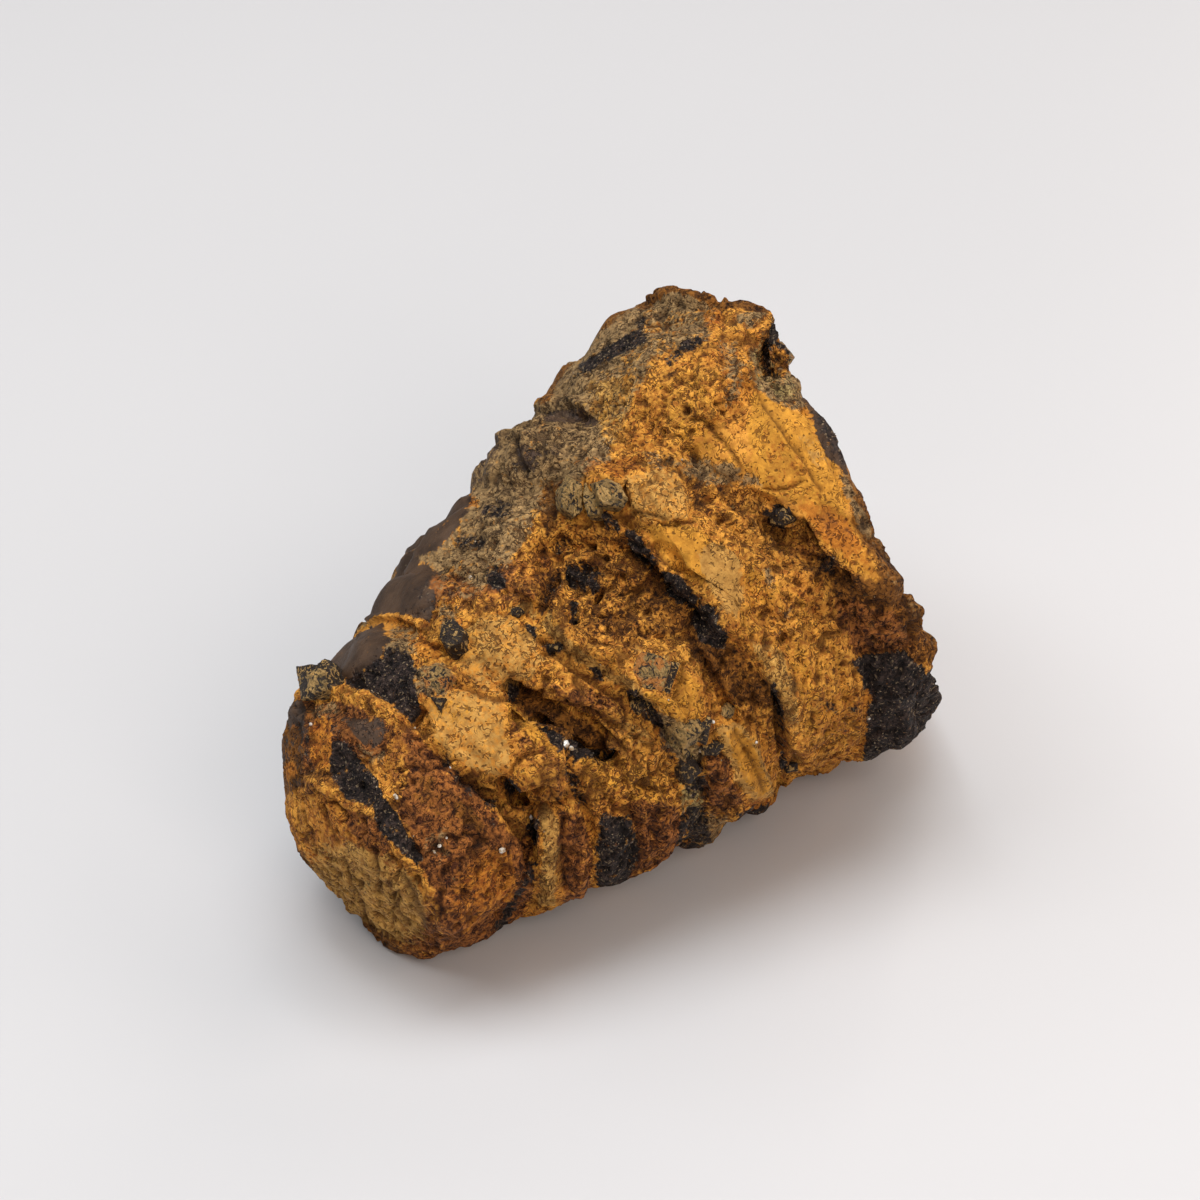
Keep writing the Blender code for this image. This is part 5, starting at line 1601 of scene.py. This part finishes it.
def floor_material(colour):
    """Acrylic board, white and faintly glossy: it gives a soft reflection of the stone near its foot."""
    material, tree, surface, where = plain_material("acrylic_floor_satin", 0.3, specular=0.35, ior=1.49)
    cloud = add(tree, NOISE, {}, {"Vector": where, "Scale": 1.0 / 90.0, "Detail": 2.0})
    tone = add(tree, RAMP, RISE, {"Value": cloud, "From Min": 0.3, "From Max": 0.7, "To Min": 0.985})
    shade = add(tree, VECTORS, SCALE, {0: tuple(colour)[:3], "Scale": tone})
    tree.links.new(shade, surface.inputs["Base Color"])
    return material


# ---------------------------------------------------------------- operators and panel


def own(piece, *nodes):
    """Makes a piece part of the fossil."""
    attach(piece, "root")
    if nodes:
        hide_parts(*nodes)


def skin_tree():
    """The finished skin, for standing things on it."""
    mesh = bpy.data.objects["mould"].data
    corners = [Vector(p) for p in corner_places(mesh)]
    return BVHTree.FromPolygons(corners, [f.vertices[:] for f in mesh.polygons])


class OBJECT_OT_fossil_mould(bpy.types.Operator):
    """Builds the mould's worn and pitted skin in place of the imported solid"""

    bl_idname = "object.fossil_mould"
    bl_label = "Mould"

    def execute(self, context):
        sizes, colours = context.scene.fossil_sizes, context.scene.fossil_colours
        own(make_mould(sizes, ironstone_material(sizes, colours)), NODE)
        return {"FINISHED"}


class OBJECT_OT_fossil_crystals(bpy.types.Operator):
    """Stands the crystals and the clear grains in the skin"""

    bl_idname = "object.fossil_crystals"
    bl_label = "Crystals"

    def execute(self, context):
        colours = context.scene.fossil_colours
        skin = skin_tree()
        finishes = {
            "olive": crystal_material("siderite_grown", colours, 0.42, 0.36),
            "dark": crystal_material("siderite_blackened", colours, 0.54, 0.3),
            "stained": crystal_material("siderite_rusted", colours, 0.4, 0.52),
        }
        for piece in make_crystals(skin, finishes):
            own(piece)
        own(make_sparkles(skin, grain_material("quartz_broken", colours.speckle, colours.sparkle, 0.2)))
        return {"FINISHED"}


class OBJECT_OT_fossil_grains(bpy.types.Operator):
    """Scatters the loose dark grains over the black and grey skin"""

    bl_idname = "object.fossil_grains"
    bl_label = "Loose grains"

    def execute(self, context):
        sizes, colours = context.scene.fossil_sizes, context.scene.fossil_colours
        material = grain_material("manganese_grains", colours.black, colours.speckle, 0.45)
        own(make_grains(bpy.data.objects["mould"], sizes, material))
        return {"FINISHED"}


# Soft boxes round the stone: the name, degrees above the floor, degrees clockwise from behind the stone as
# the camera sees it, watts, and the tint. The strongest hang overhead and to the left, so the shade is short
# and falls to the right.
COOL, WARM = "#F8FCFF", "#FFF1E6"
LAMPS = [
    ("overhead", 90.0, 0.0, 3.1, COOL),
    ("left_high", 65.0, 258.0, 2.65, COOL),
    ("right_high", 62.0, 90.0, 0.75, WARM),
    ("front_low", 35.0, 160.0, 2.8, WARM),
    ("back_low", 35.0, 30.0, 1.2, WARM),
    ("left_low", 35.0, 285.0, 0.95, COOL),
    ("right_low", 35.0, 90.0, 1.25, WARM),
]
LAMP_DISTANCE, LAMP_WIDTH = 0.8, 0.45
LAMP_AIM = Vector((0.0, 0.0, 0.01))
FLOOR_REACH, SKY_STRENGTH = 1.5, 0.06


def lamp(name, height, turn, power, tint):
    """A square soft box that faces the stone."""
    level = Vector((-VIEW_BACK.x, -VIEW_BACK.y, 0.0)).normalized()
    rise, around = math.radians(height), math.radians(turn)
    flat = level * math.cos(around) + VIEW_RIGHT * math.sin(around)
    towards = flat * math.cos(rise) + Vector((0.0, 0.0, math.sin(rise)))
    light = bpy.data.lights.new(name, "AREA")
    light.size = LAMP_WIDTH
    light.energy = power
    light.color = linear(tint)[:3]
    obj = bpy.data.objects.new(name, light)
    obj.location = LAMP_AIM + towards * LAMP_DISTANCE
    obj.rotation_euler = (-towards).to_track_quat("-Z", "Y").to_euler()
    bpy.context.scene.collection.objects.link(obj)


class OBJECT_OT_fossil_stage(bpy.types.Operator):
    """Lays the pale floor and sets the soft lights and the camera"""

    bl_idname = "object.fossil_stage"
    bl_label = "Stage"

    def execute(self, context):
        scene = context.scene
        mesh = bpy.data.meshes.new("floor")
        reach = FLOOR_REACH
        corners = [(-reach, -reach, 0.0), (reach, -reach, 0.0), (reach, reach, 0.0), (-reach, reach, 0.0)]
        mesh.from_pydata(corners, [], [(0, 1, 2, 3)])
        mesh.materials.append(floor_material(scene.fossil_colours.floor))
        fossil_mesh("floor", mesh)

        world = bpy.data.worlds.new("studio")
        world.use_nodes = True
        sky = world.node_tree.nodes["Background"]
        sky.inputs["Color"].default_value = (1.0, 1.0, 1.0, 1.0)
        sky.inputs["Strength"].default_value = SKY_STRENGTH
        scene.world = world
        for row in LAMPS:
            lamp(*row)

        camera = bpy.data.cameras.new("camera")
        camera.sensor_width = SENSOR_MM
        camera.lens = FOCAL_PIXELS * SENSOR_MM / FRAME_PIXELS
        camera.clip_start = 0.01
        eye = bpy.data.objects.new("camera", camera)
        eye.location = EYE * MM
        eye.rotation_euler = Matrix((VIEW_RIGHT, VIEW_UP, VIEW_BACK)).transposed().to_euler()
        scene.collection.objects.link(eye)
        scene.camera = eye
        scene.view_settings.view_transform = "Standard"
        return {"FINISHED"}


class VIEW3D_PT_fossil(bpy.types.Panel):
    """Lists the fossil's pieces"""

    bl_idname = "VIEW3D_PT_fossil"
    bl_label = "Fossil nautiloid"
    bl_space_type = "VIEW_3D"
    bl_region_type = "UI"
    bl_category = "Fossil"

    def draw(self, context):
        for operator in OPERATORS:
            self.layout.operator(operator.bl_idname)
        for group in (context.scene.fossil_sizes, context.scene.fossil_colours):
            for name in group.bl_rna.properties.keys():
                if name not in ("rna_type", "name"):
                    self.layout.prop(group, name)


OPERATORS = (
    OBJECT_OT_fossil_mould,
    OBJECT_OT_fossil_crystals,
    OBJECT_OT_fossil_grains,
    OBJECT_OT_fossil_stage,
)
CLASSES = (FossilSizes, FossilColours, *OPERATORS, VIEW3D_PT_fossil)


def register():
    """Makes the classes known to Blender."""
    for cls in CLASSES:
        bpy.utils.register_class(cls)
    bpy.types.Scene.fossil_sizes = bpy.props.PointerProperty(type=FossilSizes)
    bpy.types.Scene.fossil_colours = bpy.props.PointerProperty(type=FossilColours)


def unregister():
    """Takes the classes out of Blender again."""
    del bpy.types.Scene.fossil_colours
    del bpy.types.Scene.fossil_sizes
    for cls in reversed(CLASSES):
        bpy.utils.unregister_class(cls)


def main():
    """Builds every piece and the stage."""
    register()
    bpy.ops.object.fossil_mould()
    bpy.ops.object.fossil_crystals()
    bpy.ops.object.fossil_grains()
    bpy.ops.object.fossil_stage()


if __name__ == "__main__":
    main()
